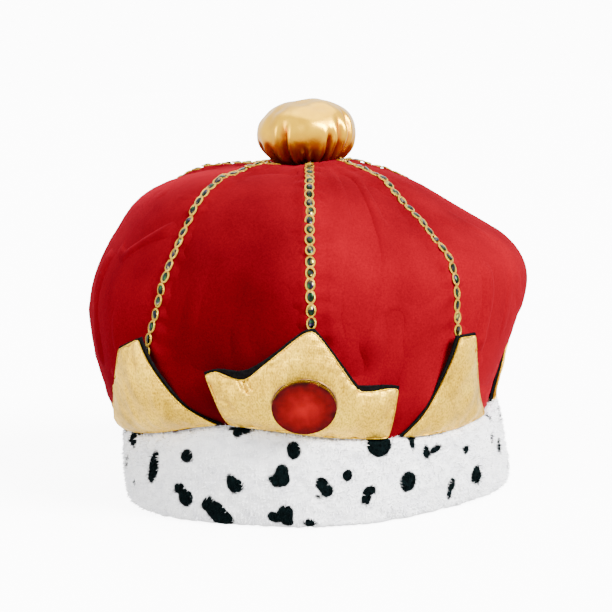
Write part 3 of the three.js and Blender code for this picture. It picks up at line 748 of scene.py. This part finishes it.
first = np.arange(TUFT_COUNT)[:, None, None] * 4
tuft_faces = (first + np.array([[0, 2, 1], [0, 1, 3], [1, 2, 3], [2, 0, 3]])).reshape(-1, 3)
pile_mesh = bpy.data.meshes.new("plush_pile")
pile_mesh.from_pydata(tuft_places.tolist(), [], tuft_faces.tolist())
pile = bpy.data.objects.new("plush_pile", pile_mesh)
bpy.context.scene.collection.objects.link(pile)
put_value(pile, "spot", np.repeat(spot_depth(roots), 4))
pile.data.materials.append(plush_material("plush_fibre"))
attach(pile, "root")


# The points: eight flat pads of pale gold lame over foam, stitched to black felt and tacked over
# the seam of cuff and velvet. Each keeps the frame's outline, with its edges rolled and its cloth
# drawn in at the stitching.
POINT_PILLOW = 0.0013
POINT_ROLL = 0.0006
POINT_WRINKLE = 0.00045
PILLOW_REACH = 0.006
ROLL_REACH = 0.0012
EDGE_WRINKLE_REACH = 0.004
FELT_FUZZ = 0.00012
# Edges sharper than this many degrees are the outline's. At its corners both faces look along it.
SHARP_EDGE = 38
RIM_FACING = 0.6
# Shares of looking outward below which a vertex lies on the side, and above which in front
SIDE_FACING = 0.45
FRONT_FACING = 0.2
# Lines drawn in by the stitching of the front point, charted as the velvet's creases are
FRONT_GATHERS = [
    (-16.9, 76.5, -15.6, 69.5, 1.2, 0.8),
    (-15.6, 76.0, -14.6, 71.5, 1.1, 0.7),
    (-17.9, 75.0, -16.8, 71.0, 0.8, 0.8),
    (-15.4, 70.5, -16.0, 58.0, 0.35, 1.5),
    (-25.0, 66.5, -21.0, 64.0, 0.35, 1.3),
    (-24.0, 58.5, -18.5, 61.5, 0.3, 1.6),
    (-22.5, 71.0, -20.0, 55.0, 0.25, 2.2),
    (17.5, 66.0, 19.0, 55.0, 0.3, 2.0),
    (-4.0, 88.0, 2.5, 86.0, 0.2, 2.6),
]


def crease_outline(piece, strength, corner_strength):
    """Keeps the outline of a flat piece crisp, and lets its corners round off a little."""
    mesh = bmesh.new()
    mesh.from_mesh(piece.data)
    layers = mesh.edges.layers.float
    creases = layers.get("crease_edge") or layers.new("crease_edge")
    for edge in mesh.edges:
        if len(edge.link_faces) == 2 and edge.calc_face_angle() > math.radians(SHARP_EDGE):
            centre = sum((vert.co for vert in edge.verts), Vector()) / 2
            outward_way = Vector((centre.x, centre.y, 0)).normalized()
            facings = [abs(face.normal.dot(outward_way)) for face in edge.link_faces]
            edge[creases] = corner_strength if max(facings) < RIM_FACING else strength
    mesh.to_mesh(piece.data)
    mesh.free()


def outward_share(points, directions):
    """How much of each direction points away from the hat's axis."""
    radius = np.maximum(np.hypot(points[:, 0], points[:, 1]), 1e-6)
    return (points[:, 0] * directions[:, 0] + points[:, 1] * directions[:, 1]) / radius


def nearest_distance(points, targets):
    tree = kdtree.KDTree(len(targets))
    for index, target in enumerate(targets):
        tree.insert(Vector(target), index)
    tree.balance()
    return np.array([tree.find(Vector(point))[2] for point in points])


def cloth_map(piece):
    """Lays a UV map on the piece, in centimetres round the hat and upwards."""
    layer = piece.data.uv_layers.get("cloth") or piece.data.uv_layers.new(name="cloth")
    points = places(piece)
    middle = points.mean(axis=0)
    start = math.atan2(middle[0], -middle[1])
    turn = (np.arctan2(points[:, 0], -points[:, 1]) - start + math.pi) % (2 * math.pi) - math.pi
    across = turn * math.hypot(middle[0], middle[1]) * 100
    corner = np.empty(len(piece.data.loops), dtype=np.int32)
    piece.data.loops.foreach_get("vertex_index", corner)
    values = np.stack([across[corner], points[corner, 2] * 100], axis=1)
    layer.data.foreach_set("uv", np.ascontiguousarray(values, dtype=np.float32).ravel())


def weave_bands(material, angle):
    """Fine parallel bands on the piece's own cloth map."""
    cloth = node(material, "ShaderNodeUVMap", uv_map="cloth")
    mapping = node(material, "ShaderNodeMapping")
    mapping.inputs["Rotation"].default_value = (0, 0, math.radians(angle))
    join_nodes(material, cloth.outputs["UV"], mapping.inputs["Vector"])
    bands = node(material, "ShaderNodeTexWave", Scale=4.5, Distortion=0.6, Detail=1.0)
    join_nodes(material, mapping.outputs["Vector"], bands.inputs["Vector"])
    return bands.outputs["Fac"]


gold_cloth = new_material("gold_lame", Metallic=0.95, Roughness=0.4, Specular_IOR_Level=0.4)
worn_gold = ramp_of(
    gold_cloth,
    noise_from(gold_cloth, 60, 4, 0.65),
    (0.3, (0.5, 0.3, 0.01)),
    (0.5, (0.82, 0.5, 0.025)),
    (0.7, (1.0, 0.66, 0.045)),
)
gold_speck = ramp_of(
    gold_cloth,
    noise_from(gold_cloth, 1500, 2, 0.6, (1, 1, 0.5)),
    (0.34, (0.55, 0.5, 0.4)),
    (0.58, (1, 1, 1)),
)
colour_from(gold_cloth, mix_colours(gold_cloth, 1.0, worn_gold, gold_speck, "MULTIPLY"))
bumpy(
    gold_cloth,
    (weave_bands(gold_cloth, 0), 0.00012, 0.5),
    (weave_bands(gold_cloth, 90), 0.00012, 0.5),
    (noise_from(gold_cloth, 140, 3, 0.6), 0.0006, 0.4),
)
black_felt = new_material("black_felt", Roughness=1.0, Specular_IOR_Level=0.03)
felt_tone = ramp_of(
    black_felt,
    noise_from(black_felt, 700, 4, 0.7),
    (0.3, (0.0012, 0.0012, 0.0014)),
    (0.7, (0.006, 0.006, 0.0065)),
)
colour_from(black_felt, felt_tone)
bumpy(black_felt, (noise_from(black_felt, 900, 4, 0.75), 0.0005, 0.8))

for at, name in enumerate(seam_names):
    point = merged_copy(f"{name}_point", f"{name}_point_cloth")
    crease_outline(point, 0.8, 0.25)
    subdivide_smooth(point, 4 if name == "front" else 3)
    cloth_skin = places(point)
    facing = normals(point)
    share = outward_share(cloth_skin, facing)
    from_edge = nearest_distance(cloth_skin, cloth_skin[np.abs(share) < SIDE_FACING])
    pillow = POINT_PILLOW * (1 - np.exp(-((from_edge / PILLOW_REACH) ** 2)))
    roll_in = POINT_ROLL * np.exp(-((from_edge / ROLL_REACH) ** 2))
    near_edge = np.exp(-((from_edge / EDGE_WRINKLE_REACH) ** 2))
    drawn = waves(cloth_skin * np.array([1, 1, 0.45]), size=0.011, seed=41 + at)
    drawn += 0.6 * waves(cloth_skin, size=0.005, seed=61 + at, octaves=1) * near_edge
    lift = pillow - roll_in + POINT_WRINKLE * drawn
    if name == "front":
        lift += crease_depth(cloth_skin, FRONT_GATHERS)
    lift *= share > FRONT_FACING
    put_places(point, cloth_skin + facing * lift[:, None])
    cloth_map(point)
    activate(point)
    bpy.ops.object.shade_smooth()
    point.data.materials.append(gold_cloth)
    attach(point, "root")
    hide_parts(f"{name}_point")

    felt = merged_copy(f"{name}_point_back", f"{name}_point_felt")
    crease_outline(felt, 0.9, 0.6)
    subdivide_smooth(felt, 3)
    felt_skin = places(felt)
    fuzz = FELT_FUZZ * waves(felt_skin, size=0.002, seed=81 + at)
    put_places(felt, felt_skin + normals(felt) * fuzz[:, None])
    activate(felt)
    bpy.ops.object.shade_smooth()
    felt.data.materials.append(black_felt)
    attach(felt, "root")
    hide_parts(f"{name}_point_back")


# The braids: a row of dark mirrored sequins, each in an oval loop of twisted gold thread, sewn
# down every seam from the ball to the tip of its point. One loop and one sequin are modelled,
# and copied along the seam on the velvet.
BRAID_PITCH = 0.0063
LOOP_LENGTH = 0.0068
LOOP_WIDTH = 0.0049
THREAD_RADIUS = 0.0004
SEQUIN_LENGTH = 0.0046
SEQUIN_WIDTH = 0.0032
SEQUIN_HEIGHT = 0.0028
SEQUIN_SIDES = 8
# Shares of a sequin's size: how thick its foot is, how far in its face lies and how much higher
SEQUIN_FOOT = 0.25
SEQUIN_INSET = 0.16
SEQUIN_DOME = 0.12
# How unevenly the loops and sequins lie, in radians
LOOP_TILT = 0.1
LOOP_SWING = 0.06
SEQUIN_TILT = 0.24
SEQUIN_NOD = 0.2
BRAID_SINK = 0.0001
# Steps of the soft curve between two places of a seam
CURVE_STEPS = 12

deselect()
bpy.ops.mesh.primitive_torus_add(
    major_segments=18,
    minor_segments=7,
    major_radius=LOOP_WIDTH / 2 - THREAD_RADIUS,
    minor_radius=THREAD_RADIUS,
    location=(0, 0, 0),
)
loop = bpy.context.object
loop.name = "thread_loop"
bpy.ops.object.mode_set(mode="EDIT")
bpy.ops.mesh.select_all(action="SELECT")
bpy.ops.transform.resize(value=(LOOP_LENGTH / LOOP_WIDTH, 1, 1), center_override=(0, 0, 0))
bpy.ops.object.mode_set(mode="OBJECT")
deselect()
bpy.ops.mesh.primitive_cylinder_add(
    vertices=SEQUIN_SIDES,
    radius=0.5,
    depth=SEQUIN_FOOT,
    location=(0, 0, 0),
    end_fill_type="NGON",
)
sequin = bpy.context.object
sequin.name = "sequin"
bpy.ops.object.mode_set(mode="EDIT")
bpy.ops.mesh.select_all(action="DESELECT")
bpy.ops.object.mode_set(mode="OBJECT")
for face in sequin.data.polygons:
    face.select = face.normal.z > FLAT_FACING
bpy.ops.object.mode_set(mode="EDIT")
bpy.ops.mesh.inset(thickness=SEQUIN_INSET)
bpy.ops.transform.translate(value=(0, 0, SEQUIN_DOME))
turn_half_side = math.radians(180 / SEQUIN_SIDES)
bpy.ops.transform.rotate(value=turn_half_side, orient_axis="Z", center_override=(0, 0, 0))
bpy.ops.mesh.select_all(action="SELECT")
sequin_size = (SEQUIN_LENGTH, SEQUIN_WIDTH, SEQUIN_HEIGHT)
bpy.ops.transform.resize(value=sequin_size, center_override=(0, 0, 0))
bpy.ops.mesh.quads_convert_to_tris()
bpy.ops.object.mode_set(mode="OBJECT")

gold_thread = new_material("gold_thread", Metallic=0.85, Roughness=0.36)
twist_map = node(gold_thread, "ShaderNodeUVMap", uv_map="UVMap")
twist_turn = node(gold_thread, "ShaderNodeMapping")
twist_turn.inputs["Rotation"].default_value = (0, 0, math.radians(38))
join_nodes(gold_thread, twist_map.outputs["UV"], twist_turn.inputs["Vector"])
twist = node(gold_thread, "ShaderNodeTexWave", Scale=7.0, Distortion=0.4)
join_nodes(gold_thread, twist_turn.outputs["Vector"], twist.inputs["Vector"])
# The thread is painted dark in the grooves of its twist, where its bump is lowest: painted shade.
thread_tone_and_groove_shade = ramp_of(
    gold_thread,
    twist.outputs["Fac"],
    (0.15, (0.16, 0.075, 0.006)),
    (0.6, (0.92, 0.56, 0.04)),
)
colour_from(gold_thread, thread_tone_and_groove_shade)
bumpy(gold_thread, (twist.outputs["Fac"], 0.0003, 0.8))
mirror_sequin = new_material("dark_sequin", Metallic=1.0, Roughness=0.12)
hologram = ramp_of(
    mirror_sequin,
    noise_from(mirror_sequin, 330, 1, 0.4),
    (0.3, (0.006, 0.006, 0.006)),
    (0.42, (0.01, 0.035, 0.012)),
    (0.5, (0.004, 0.004, 0.005)),
    (0.58, (0.025, 0.016, 0.045)),
    (0.66, (0.16, 0.15, 0.03)),
)
colour_from(mirror_sequin, hologram)

velvet_tree = BVHTree.FromObject(velvet, bpy.context.evaluated_depsgraph_get())


def smooth_line(line, pitch):
    """Evenly spaced places along a soft curve through the line's own places."""
    fine = []
    last = len(line) - 1
    for at in range(last):
        before, start, end, after = line[max(at - 1, 0)], line[at], line[at + 1], line[min(at + 2, last)]
        slope = end - before
        bend = 2 * before - 5 * start + 4 * end - after
        twist = 3 * start - before - 3 * end + after
        for step in range(CURVE_STEPS):
            share = step / CURVE_STEPS
            fine.append(0.5 * (2 * start + slope * share + bend * share**2 + twist * share**3))
    fine.append(line[-1])
    total = sum((end - start).length for start, end in zip(fine, fine[1:]))
    count = max(2, round(total / pitch))
    spaced = []
    run = 0.0
    wanted_at = [(index + 0.5) * total / count for index in range(count)]
    for start, end in zip(fine, fine[1:]):
        length = (end - start).length
        while len(spaced) < count and run + length >= wanted_at[len(spaced)]:
            spaced.append(start.lerp(end, (wanted_at[len(spaced)] - run) / length))
        run += length
    return spaced


def small_turn(spread, axis):
    """A chance turn, in radians about the axis."""
    return Matrix.Rotation(chance.normal(scale=spread), 4, axis)


def set_copy(source, matrix):
    mesh = source.data.copy()
    mesh.transform(matrix)
    copy = bpy.data.objects.new(source.name, mesh)
    bpy.context.scene.collection.objects.link(copy)
    return copy


loop.data.materials.append(gold_thread)
sequin.data.materials.append(mirror_sequin)
for at, name in enumerate(seam_names):
    chance = np.random.default_rng(500 + at)
    seats = []
    for seat in smooth_line(seam_lines[name], BRAID_PITCH):
        ground, normal, _, _ = velvet_tree.find_nearest(seat)
        if normal.dot(seat - crown_middle) < 0:
            normal = -normal
        seats.append((ground, normal))
    pieces = []
    for index, (ground, _) in enumerate(seats):
        beside = seats[max(index - 1, 0) : index + 2]
        ahead = beside[-1][0] - beside[0][0]
        upward = sum((seat[1] for seat in beside), Vector()).normalized()
        along_way = (ahead - upward * ahead.dot(upward)).normalized()
        sideways = upward.cross(along_way)
        turn = Matrix((along_way, sideways, upward)).transposed().to_4x4()
        tilt = small_turn(LOOP_TILT, "Y") @ small_turn(LOOP_SWING, "Z")
        shift = Matrix.Translation(ground + upward * (THREAD_RADIUS - BRAID_SINK))
        pieces.append(set_copy(loop, shift @ turn @ tilt))
        glint = small_turn(SEQUIN_TILT, "X") @ small_turn(SEQUIN_NOD, "Y")
        pieces.append(set_copy(sequin, shift @ turn @ glint))
    deselect()
    for piece in pieces:
        piece.select_set(True)
    bpy.context.view_layer.objects.active = pieces[0]
    bpy.ops.object.join()
    braid = bpy.context.object
    braid.name = f"{name}_braid_loops"
    braid.data.name = braid.name
    bpy.ops.object.shade_smooth_by_angle(angle=math.radians(35))
    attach(braid, "root")
    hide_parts(f"{name}_braid")
for source in (loop, sequin):
    bpy.data.objects.remove(source)


# The ball: a pad of wadding in shiny gold foil cloth, drawn together underneath in pleats and
# sewn through the top of the crown. Its lower part and its pleats are painted darker and
# red-brown: painted shade, with a painted reflection of the red velvet.
# The pleats, charted in front and made up behind: azimuth in degrees, share of the ball's
# height that it runs up, depth in millimetres and width in degrees
BALL_PLEATS = [
    (-78, 0.5, 1.6, 7),
    (-56, 0.4, 0.8, 5),
    (-31, 0.74, 2.3, 5),
    (-15, 0.3, 0.6, 5),
    (-5, 0.36, 1.3, 4),
    (10, 0.28, 0.6, 4),
    (26, 0.62, 2.6, 4),
    (38, 0.78, 1.9, 4),
    (55, 0.88, 1.5, 3.5),
    (66, 0.5, 1.5, 5),
    (88, 0.6, 1.6, 6),
    (106, 0.5, 1.4, 5),
    (124, 0.66, 1.9, 6),
    (143, 0.45, 1.2, 4.5),
    (160, 0.6, 1.7, 6),
    (178, 0.5, 1.3, 5),
    (196, 0.7, 1.9, 6),
    (214, 0.5, 1.3, 5),
    (233, 0.62, 1.8, 6),
    (251, 0.48, 1.3, 5),
    (268, 0.58, 1.6, 5),
]
# The pleats lean as they rise, fade out below their tops and towards the ball's axis
PLEAT_LEAN = 6
PLEAT_FADE = 0.3
PLEAT_SWELL = 0.45
PLEAT_SWELL_AT = 1.7
PLEAT_START = 0.012
BALL_PUFF = 0.0006
BALL_FOOT = 0.1703
NECK_EDGE = 0.001
# How far up the ball the painted shade and painted reflection reach, how deep a pleat has all
# of its painted shade, and the shares of both
PAINTED_SHADE_TOP = 0.52
PAINTED_SHADE_SOFTNESS = 1.05
DEEP_PLEAT = 0.0012
LOW_PAINTED_SHADE_AND_REFLECTION = 0.85
PLEAT_PAINTED_SHADE = 0.5

ball = merged_copy("gold_ball", "ball_cloth")
subdivide_smooth(ball, 3)
foil_skin = places(ball)
lowest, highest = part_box("gold_ball")
from_axis = foil_skin - np.array([(lowest[0] + highest[0]) / 2, (lowest[1] + highest[1]) / 2, 0])
height = np.clip((foil_skin[:, 2] - BALL_FOOT) / (highest[2] - BALL_FOOT), 0, 1)
azimuth = azimuths(from_axis)
radius = np.hypot(from_axis[:, 0], from_axis[:, 1])
draw = np.zeros(len(foil_skin))
for centre, top, depth, width in BALL_PLEATS:
    turn = (azimuth - centre - PLEAT_LEAN * height + 180) % 360 - 180
    fade = np.clip((top - height) / PLEAT_FADE, 0, 1)
    fade = fade * fade * (3 - 2 * fade)
    hollow = np.exp(-((turn / width) ** 2))
    swell = np.exp(-(((np.abs(turn) - PLEAT_SWELL_AT * width) / width) ** 2))
    draw += fade * depth * (PLEAT_SWELL * swell - hollow)
draw *= np.clip(radius / PLEAT_START, 0, 1) ** 2 / 1000
puff = BALL_PUFF * waves(foil_skin, size=0.02, seed=91)
above_neck = foil_skin[:, 2] > BALL_FOOT - NECK_EDGE
put_places(ball, foil_skin + normals(ball) * (above_neck * (draw + puff))[:, None])
# Painted shade and a painted reflection of the red velvet, low on the ball and in the pleats.
low_painted_shade_mask = np.clip(PAINTED_SHADE_SOFTNESS - height / PAINTED_SHADE_TOP, 0, 1)
pleat_painted_shade_mask = np.clip(-draw / DEEP_PLEAT, 0, 1)
put_value(ball, "shade", np.clip(LOW_PAINTED_SHADE_AND_REFLECTION * low_painted_shade_mask + PLEAT_PAINTED_SHADE * pleat_painted_shade_mask, 0, 1))
activate(ball)
bpy.ops.object.shade_smooth()
gold_foil = new_material("gold_foil_cloth", Metallic=1.0, Roughness=0.3)
foil_tone = ramp_of(
    gold_foil,
    noise_from(gold_foil, 45, 3, 0.6),
    (0.3, (0.52, 0.26, 0.002)),
    (0.65, (0.76, 0.43, 0.005)),
)
# It darkens the foil towards red-brown: painted shade and painted reflection.
painted_shade_and_reflection_tone = ramp_of(
    gold_foil,
    attribute_of(gold_foil, "shade"),
    (0.0, (1, 1, 1)),
    (1.0, (0.64, 0.17, 0.14)),
)
colour_from(gold_foil, mix_colours(gold_foil, 1.0, foil_tone, painted_shade_and_reflection_tone, "MULTIPLY"))
bumpy(
    gold_foil,
    (noise_from(gold_foil, 110, 3, 0.55), 0.0008, 0.35),
    (noise_from(gold_foil, 1400, 2, 0.6), 0.0001, 0.3),
)
ball.data.materials.append(gold_foil)
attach(ball, "root")
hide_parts("gold_ball")


# The stone: an oval faceted gem of clear red acrylic with a foil back, glued to the middle of
# the front point. Its flat table is painted bright red, a painted reflection of the foil, framed by
# painted shade on the facets of the back, deepest at the top and at the right.
STONE_WIDTH = 0.0308
STONE_TALL = 0.0272
STONE_SIDES = 32
STONE_GIRDLE = 0.0014
STONE_RISE = 0.0028
STONE_TABLE = 0.86
TABLE_RINGS = 8
# Shares of the width and the rise of the slope round the table, in two steps of facets
SLOPE_STEPS = ((0.45, 0.6), (0.55, 0.4))
# How far from the middle the foil's painted reflection reaches, at angles from the right, anticlockwise
PAINTED_REFLECTION_ANGLES = [0, 40, 65, 90, 125, 160, 200, 250, 262, 270, 285, 293, 302, 330, 360]
PAINTED_REFLECTION_REACH = [
    *(0.72, 0.74, 0.62, 0.58, 0.64, 0.84, 0.92, 0.92),
    *(0.86, 0.93, 0.93, 0.86, 0.92, 0.86, 0.72),
]
# The edge of the painted reflection runs in scallops behind the facets, and is this soft
PAINTED_REFLECTION_SCALLOP = 0.035
PAINTED_REFLECTION_SCALLOPS = 8
PAINTED_REFLECTION_EDGE = 0.1
stone_places = places(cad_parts["front_stone"])
stone_middle = stone_places.mean(axis=0)
_, _, ways = np.linalg.svd(stone_places - stone_middle, full_matrices=False)
stone_axis = Vector(ways[2])
if stone_axis.dot(Vector((stone_middle[0], stone_middle[1], 0))) < 0:
    stone_axis = -stone_axis
depths = (stone_places - stone_middle) @ np.array(stone_axis)
stone_base = Vector(stone_middle) + stone_axis * float(depths.min())
stone_turn = stone_axis.to_track_quat("Z", "Y").to_matrix().to_4x4()

deselect()
bpy.ops.mesh.primitive_cylinder_add(
    vertices=STONE_SIDES,
    radius=0.5,
    depth=STONE_GIRDLE,
    location=(0, 0, STONE_GIRDLE / 2),
    end_fill_type="NGON",
)
stone = bpy.context.object
stone.name = "red_stone"
bpy.ops.object.transform_apply(location=True, rotation=True, scale=True)
for face in stone.data.polygons:
    face.select = face.normal.z > FLAT_FACING
half_turn = math.radians(180 / STONE_SIDES)
bpy.ops.object.mode_set(mode="EDIT")
for inward, upward in SLOPE_STEPS:
    bpy.ops.mesh.inset(thickness=0.5 * (1 - STONE_TABLE) * inward)
    bpy.ops.transform.translate(value=(0, 0, STONE_RISE * upward))
    bpy.ops.transform.rotate(value=half_turn, orient_axis="Z", center_override=(0, 0, 0))
for _ in range(TABLE_RINGS):
    bpy.ops.mesh.inset(thickness=0.5 * STONE_TABLE / (TABLE_RINGS + 0.6))
bpy.ops.mesh.poke()
bpy.ops.mesh.select_all(action="SELECT")
bpy.ops.mesh.quads_convert_to_tris()
bpy.ops.transform.resize(value=(STONE_WIDTH, STONE_TALL, 1), center_override=(0, 0, 0))
bpy.ops.object.mode_set(mode="OBJECT")
flat = places(stone)
angle = np.degrees(np.arctan2(flat[:, 1] / STONE_TALL, flat[:, 0] / STONE_WIDTH)) % 360
from_middle = 2 * np.hypot(flat[:, 0] / STONE_WIDTH, flat[:, 1] / STONE_TALL)
reach = np.interp(angle, PAINTED_REFLECTION_ANGLES, PAINTED_REFLECTION_REACH)
reach += PAINTED_REFLECTION_SCALLOP * np.abs(np.sin(np.radians(angle) * PAINTED_REFLECTION_SCALLOPS))
# The share of the foil's painted reflection at each vertex, kept for the material.
put_value(stone, "foil", np.clip((reach - from_middle) / PAINTED_REFLECTION_EDGE + 0.5, 0, 1))
stone.data.transform(Matrix.Translation(stone_base) @ stone_turn)
acrylic = new_material("red_acrylic", Roughness=0.12, IOR=1.49, Specular_IOR_Level=0.05)
# A bright red painted where the foil shows and a dark red on the facets: painted reflection and painted
# shade, flecked with painted glints.
painted_glints = noise_from(acrylic, 210, 2, 0.5)
painted_foil_reflection = ramp_of(acrylic, painted_glints, (0.35, (0.24, 0.0012, 0.002)), (0.65, (0.3, 0.002, 0.003)))
painted_facet_shade = ramp_of(acrylic, painted_glints, (0.35, (0.014, 0.0002, 0.0006)), (0.65, (0.06, 0.0006, 0.0016)))
colour_from(acrylic, mix_colours(acrylic, attribute_of(acrylic, "foil"), painted_facet_shade, painted_foil_reflection))
stone.data.materials.append(acrylic)
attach(stone, "root")
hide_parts("front_stone")


# The stone's seat: a thin dark brown bead round the foot of the stone, where it meets the
# cloth of the front point, for the dark rim seen at the stone's edge.
BEAD_RADIUS = 0.0005
BEAD_RISE = 0.0003
deselect()
bpy.ops.mesh.primitive_torus_add(
    major_segments=64,
    minor_segments=8,
    major_radius=0.5,
    minor_radius=BEAD_RADIUS,
    location=(0, 0, 0),
)
seat_ring = bpy.context.object
seat_ring.name = "stone_seat"
bpy.ops.object.mode_set(mode="EDIT")
bpy.ops.mesh.select_all(action="SELECT")
bpy.ops.transform.resize(value=(STONE_WIDTH, STONE_TALL, 1), center_override=(0, 0, 0))
bpy.ops.object.mode_set(mode="OBJECT")
ring_places = places(seat_ring)
ring_angle = np.arctan2(ring_places[:, 1] / STONE_TALL, ring_places[:, 0] / STONE_WIDTH)
on_rim = 2 * np.hypot(ring_places[:, 0] / STONE_WIDTH, ring_places[:, 1] / STONE_TALL) - 1
ring_places[:, 0] = np.cos(ring_angle) * (STONE_WIDTH / 2 + on_rim * 0.5)
ring_places[:, 1] = np.sin(ring_angle) * (STONE_TALL / 2 + on_rim * 0.5)
put_places(seat_ring, ring_places)
seat_ring.data.transform(Matrix.Translation(stone_base + stone_axis * BEAD_RISE) @ stone_turn)
bpy.ops.object.shade_smooth()
dark_rim_material = new_material("brown_seat", Metallic=0.5, Roughness=0.4)
dark_rim_tone = ramp_of(
    dark_rim_material,
    noise_from(dark_rim_material, 300, 2),
    (0.3, (0.12, 0.05, 0.012)),
    (0.7, (0.3, 0.15, 0.04)),
)
colour_from(dark_rim_material, dark_rim_tone)
seat_ring.data.materials.append(dark_rim_material)
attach(seat_ring, "root")


# The camera stands a metre from the hat, 7 degrees above it, and is turned a little, as the
# photograph was taken.
CAMERA_DISTANCE = 1.0
CAMERA_RISE = 7.0
CAMERA_ROLL = 2.5
CAMERA_AIM = Vector((0, 0, 0.1))
MILLIMETRES_A_PIXEL = 0.53
AIM_PIXEL = (309.0, 297.7)
PICTURE = 612
SENSOR = 36
rise = math.radians(CAMERA_RISE)
roll = math.radians(CAMERA_ROLL)
forward = Vector((0, math.cos(rise), -math.sin(rise)))
level_right = Vector((1, 0, 0))
level_up = level_right.cross(forward)
right = math.cos(roll) * level_right - math.sin(roll) * level_up
up = math.cos(roll) * level_up + math.sin(roll) * level_right
camera_data = bpy.data.cameras.new("camera")
camera = bpy.data.objects.new("camera", camera_data)
bpy.context.scene.collection.objects.link(camera)
camera_data.sensor_width = SENSOR
camera_data.lens = SENSOR * CAMERA_DISTANCE * 1000 / (PICTURE * MILLIMETRES_A_PIXEL)
camera_data.shift_x = -(AIM_PIXEL[0] - PICTURE / 2) / PICTURE
camera_data.shift_y = (AIM_PIXEL[1] - PICTURE / 2) / PICTURE
camera_data.clip_start = 0.05
place = CAMERA_AIM - forward * CAMERA_DISTANCE
camera.matrix_world = Matrix(
    (
        (right.x, up.x, -forward.x, place.x),
        (right.y, up.y, -forward.y, place.y),
        (right.z, up.z, -forward.z, place.z),
        (0, 0, 0, 1),
    )
)
bpy.context.scene.camera = camera


# A white table in a white room. A soft sun stands for the studio's key light at the upper right,
# a wide one overhead and a weaker one at the left fill the shadows. The table and the backdrop
# shine, so that they come out white, but the hat is lit by the walls, which are dimmer.
TABLE_SIZE = 40
TABLE_DROP = 0.0003
TABLE_GLOW = 8.0
BACKDROP_GLOW = 12.0
WALL_GLOW = 1.1
WALL_GLOW_MIRRORED = 1.5
# Each lamp's name, place, angle across in degrees and strength
LAMPS = [
    ("key", (1.25, -1.15, 1.2), 26, 12.5),
    ("top", (0.2, 0.3, 1.7), 60, 3.0),
    ("left", (-1.5, -1.0, 0.5), 50, 4.2),
]
bpy.ops.mesh.primitive_plane_add(size=TABLE_SIZE, location=(0, 0, -TABLE_DROP))
table = bpy.context.object
table.name = "table"
white_table = new_material(
    "white_table",
    Base_Color=(0.94, 0.94, 0.94, 1),
    Roughness=0.9,
    Specular_IOR_Level=0.1,
    Emission_Color=(1, 1, 1, 1),
    Emission_Strength=TABLE_GLOW,
)
table.data.materials.append(white_table)
table.visible_diffuse = False
table.visible_glossy = False
for name, stand, spread, power in LAMPS:
    lamp_data = bpy.data.lights.new(name, "SUN")
    lamp_data.angle = math.radians(spread)
    lamp_data.energy = power
    lamp = bpy.data.objects.new(name, lamp_data)
    bpy.context.scene.collection.objects.link(lamp)
    lamp.location = stand
    lamp.rotation_euler = (CAMERA_AIM - Vector(stand)).to_track_quat("-Z", "Y").to_euler()
room = bpy.data.worlds.new("room")
room.use_nodes = True
walls = room.node_tree.nodes["Background"]
walls.inputs["Color"].default_value = (1, 1, 1, 1)
backdrop = node(room, "ShaderNodeBackground", Color=(1, 1, 1, 1), Strength=BACKDROP_GLOW)
ray = node(room, "ShaderNodeLightPath")
wall_glow = node(room, "ShaderNodeMath", operation="MULTIPLY_ADD")
wall_glow.inputs[1].default_value = WALL_GLOW_MIRRORED
wall_glow.inputs[2].default_value = WALL_GLOW
join_nodes(room, ray.outputs["Is Glossy Ray"], wall_glow.inputs[0])
join_nodes(room, wall_glow.outputs["Value"], walls.inputs["Strength"])
either = node(room, "ShaderNodeMixShader")
join_nodes(room, ray.outputs["Is Camera Ray"], either.inputs["Fac"])
join_nodes(room, walls.outputs["Background"], either.inputs[1])
join_nodes(room, backdrop.outputs["Background"], either.inputs[2])
join_nodes(room, either.outputs["Shader"], room.node_tree.nodes["World Output"].inputs["Surface"])
bpy.context.scene.world = room

bpy.context.view_layer.update()
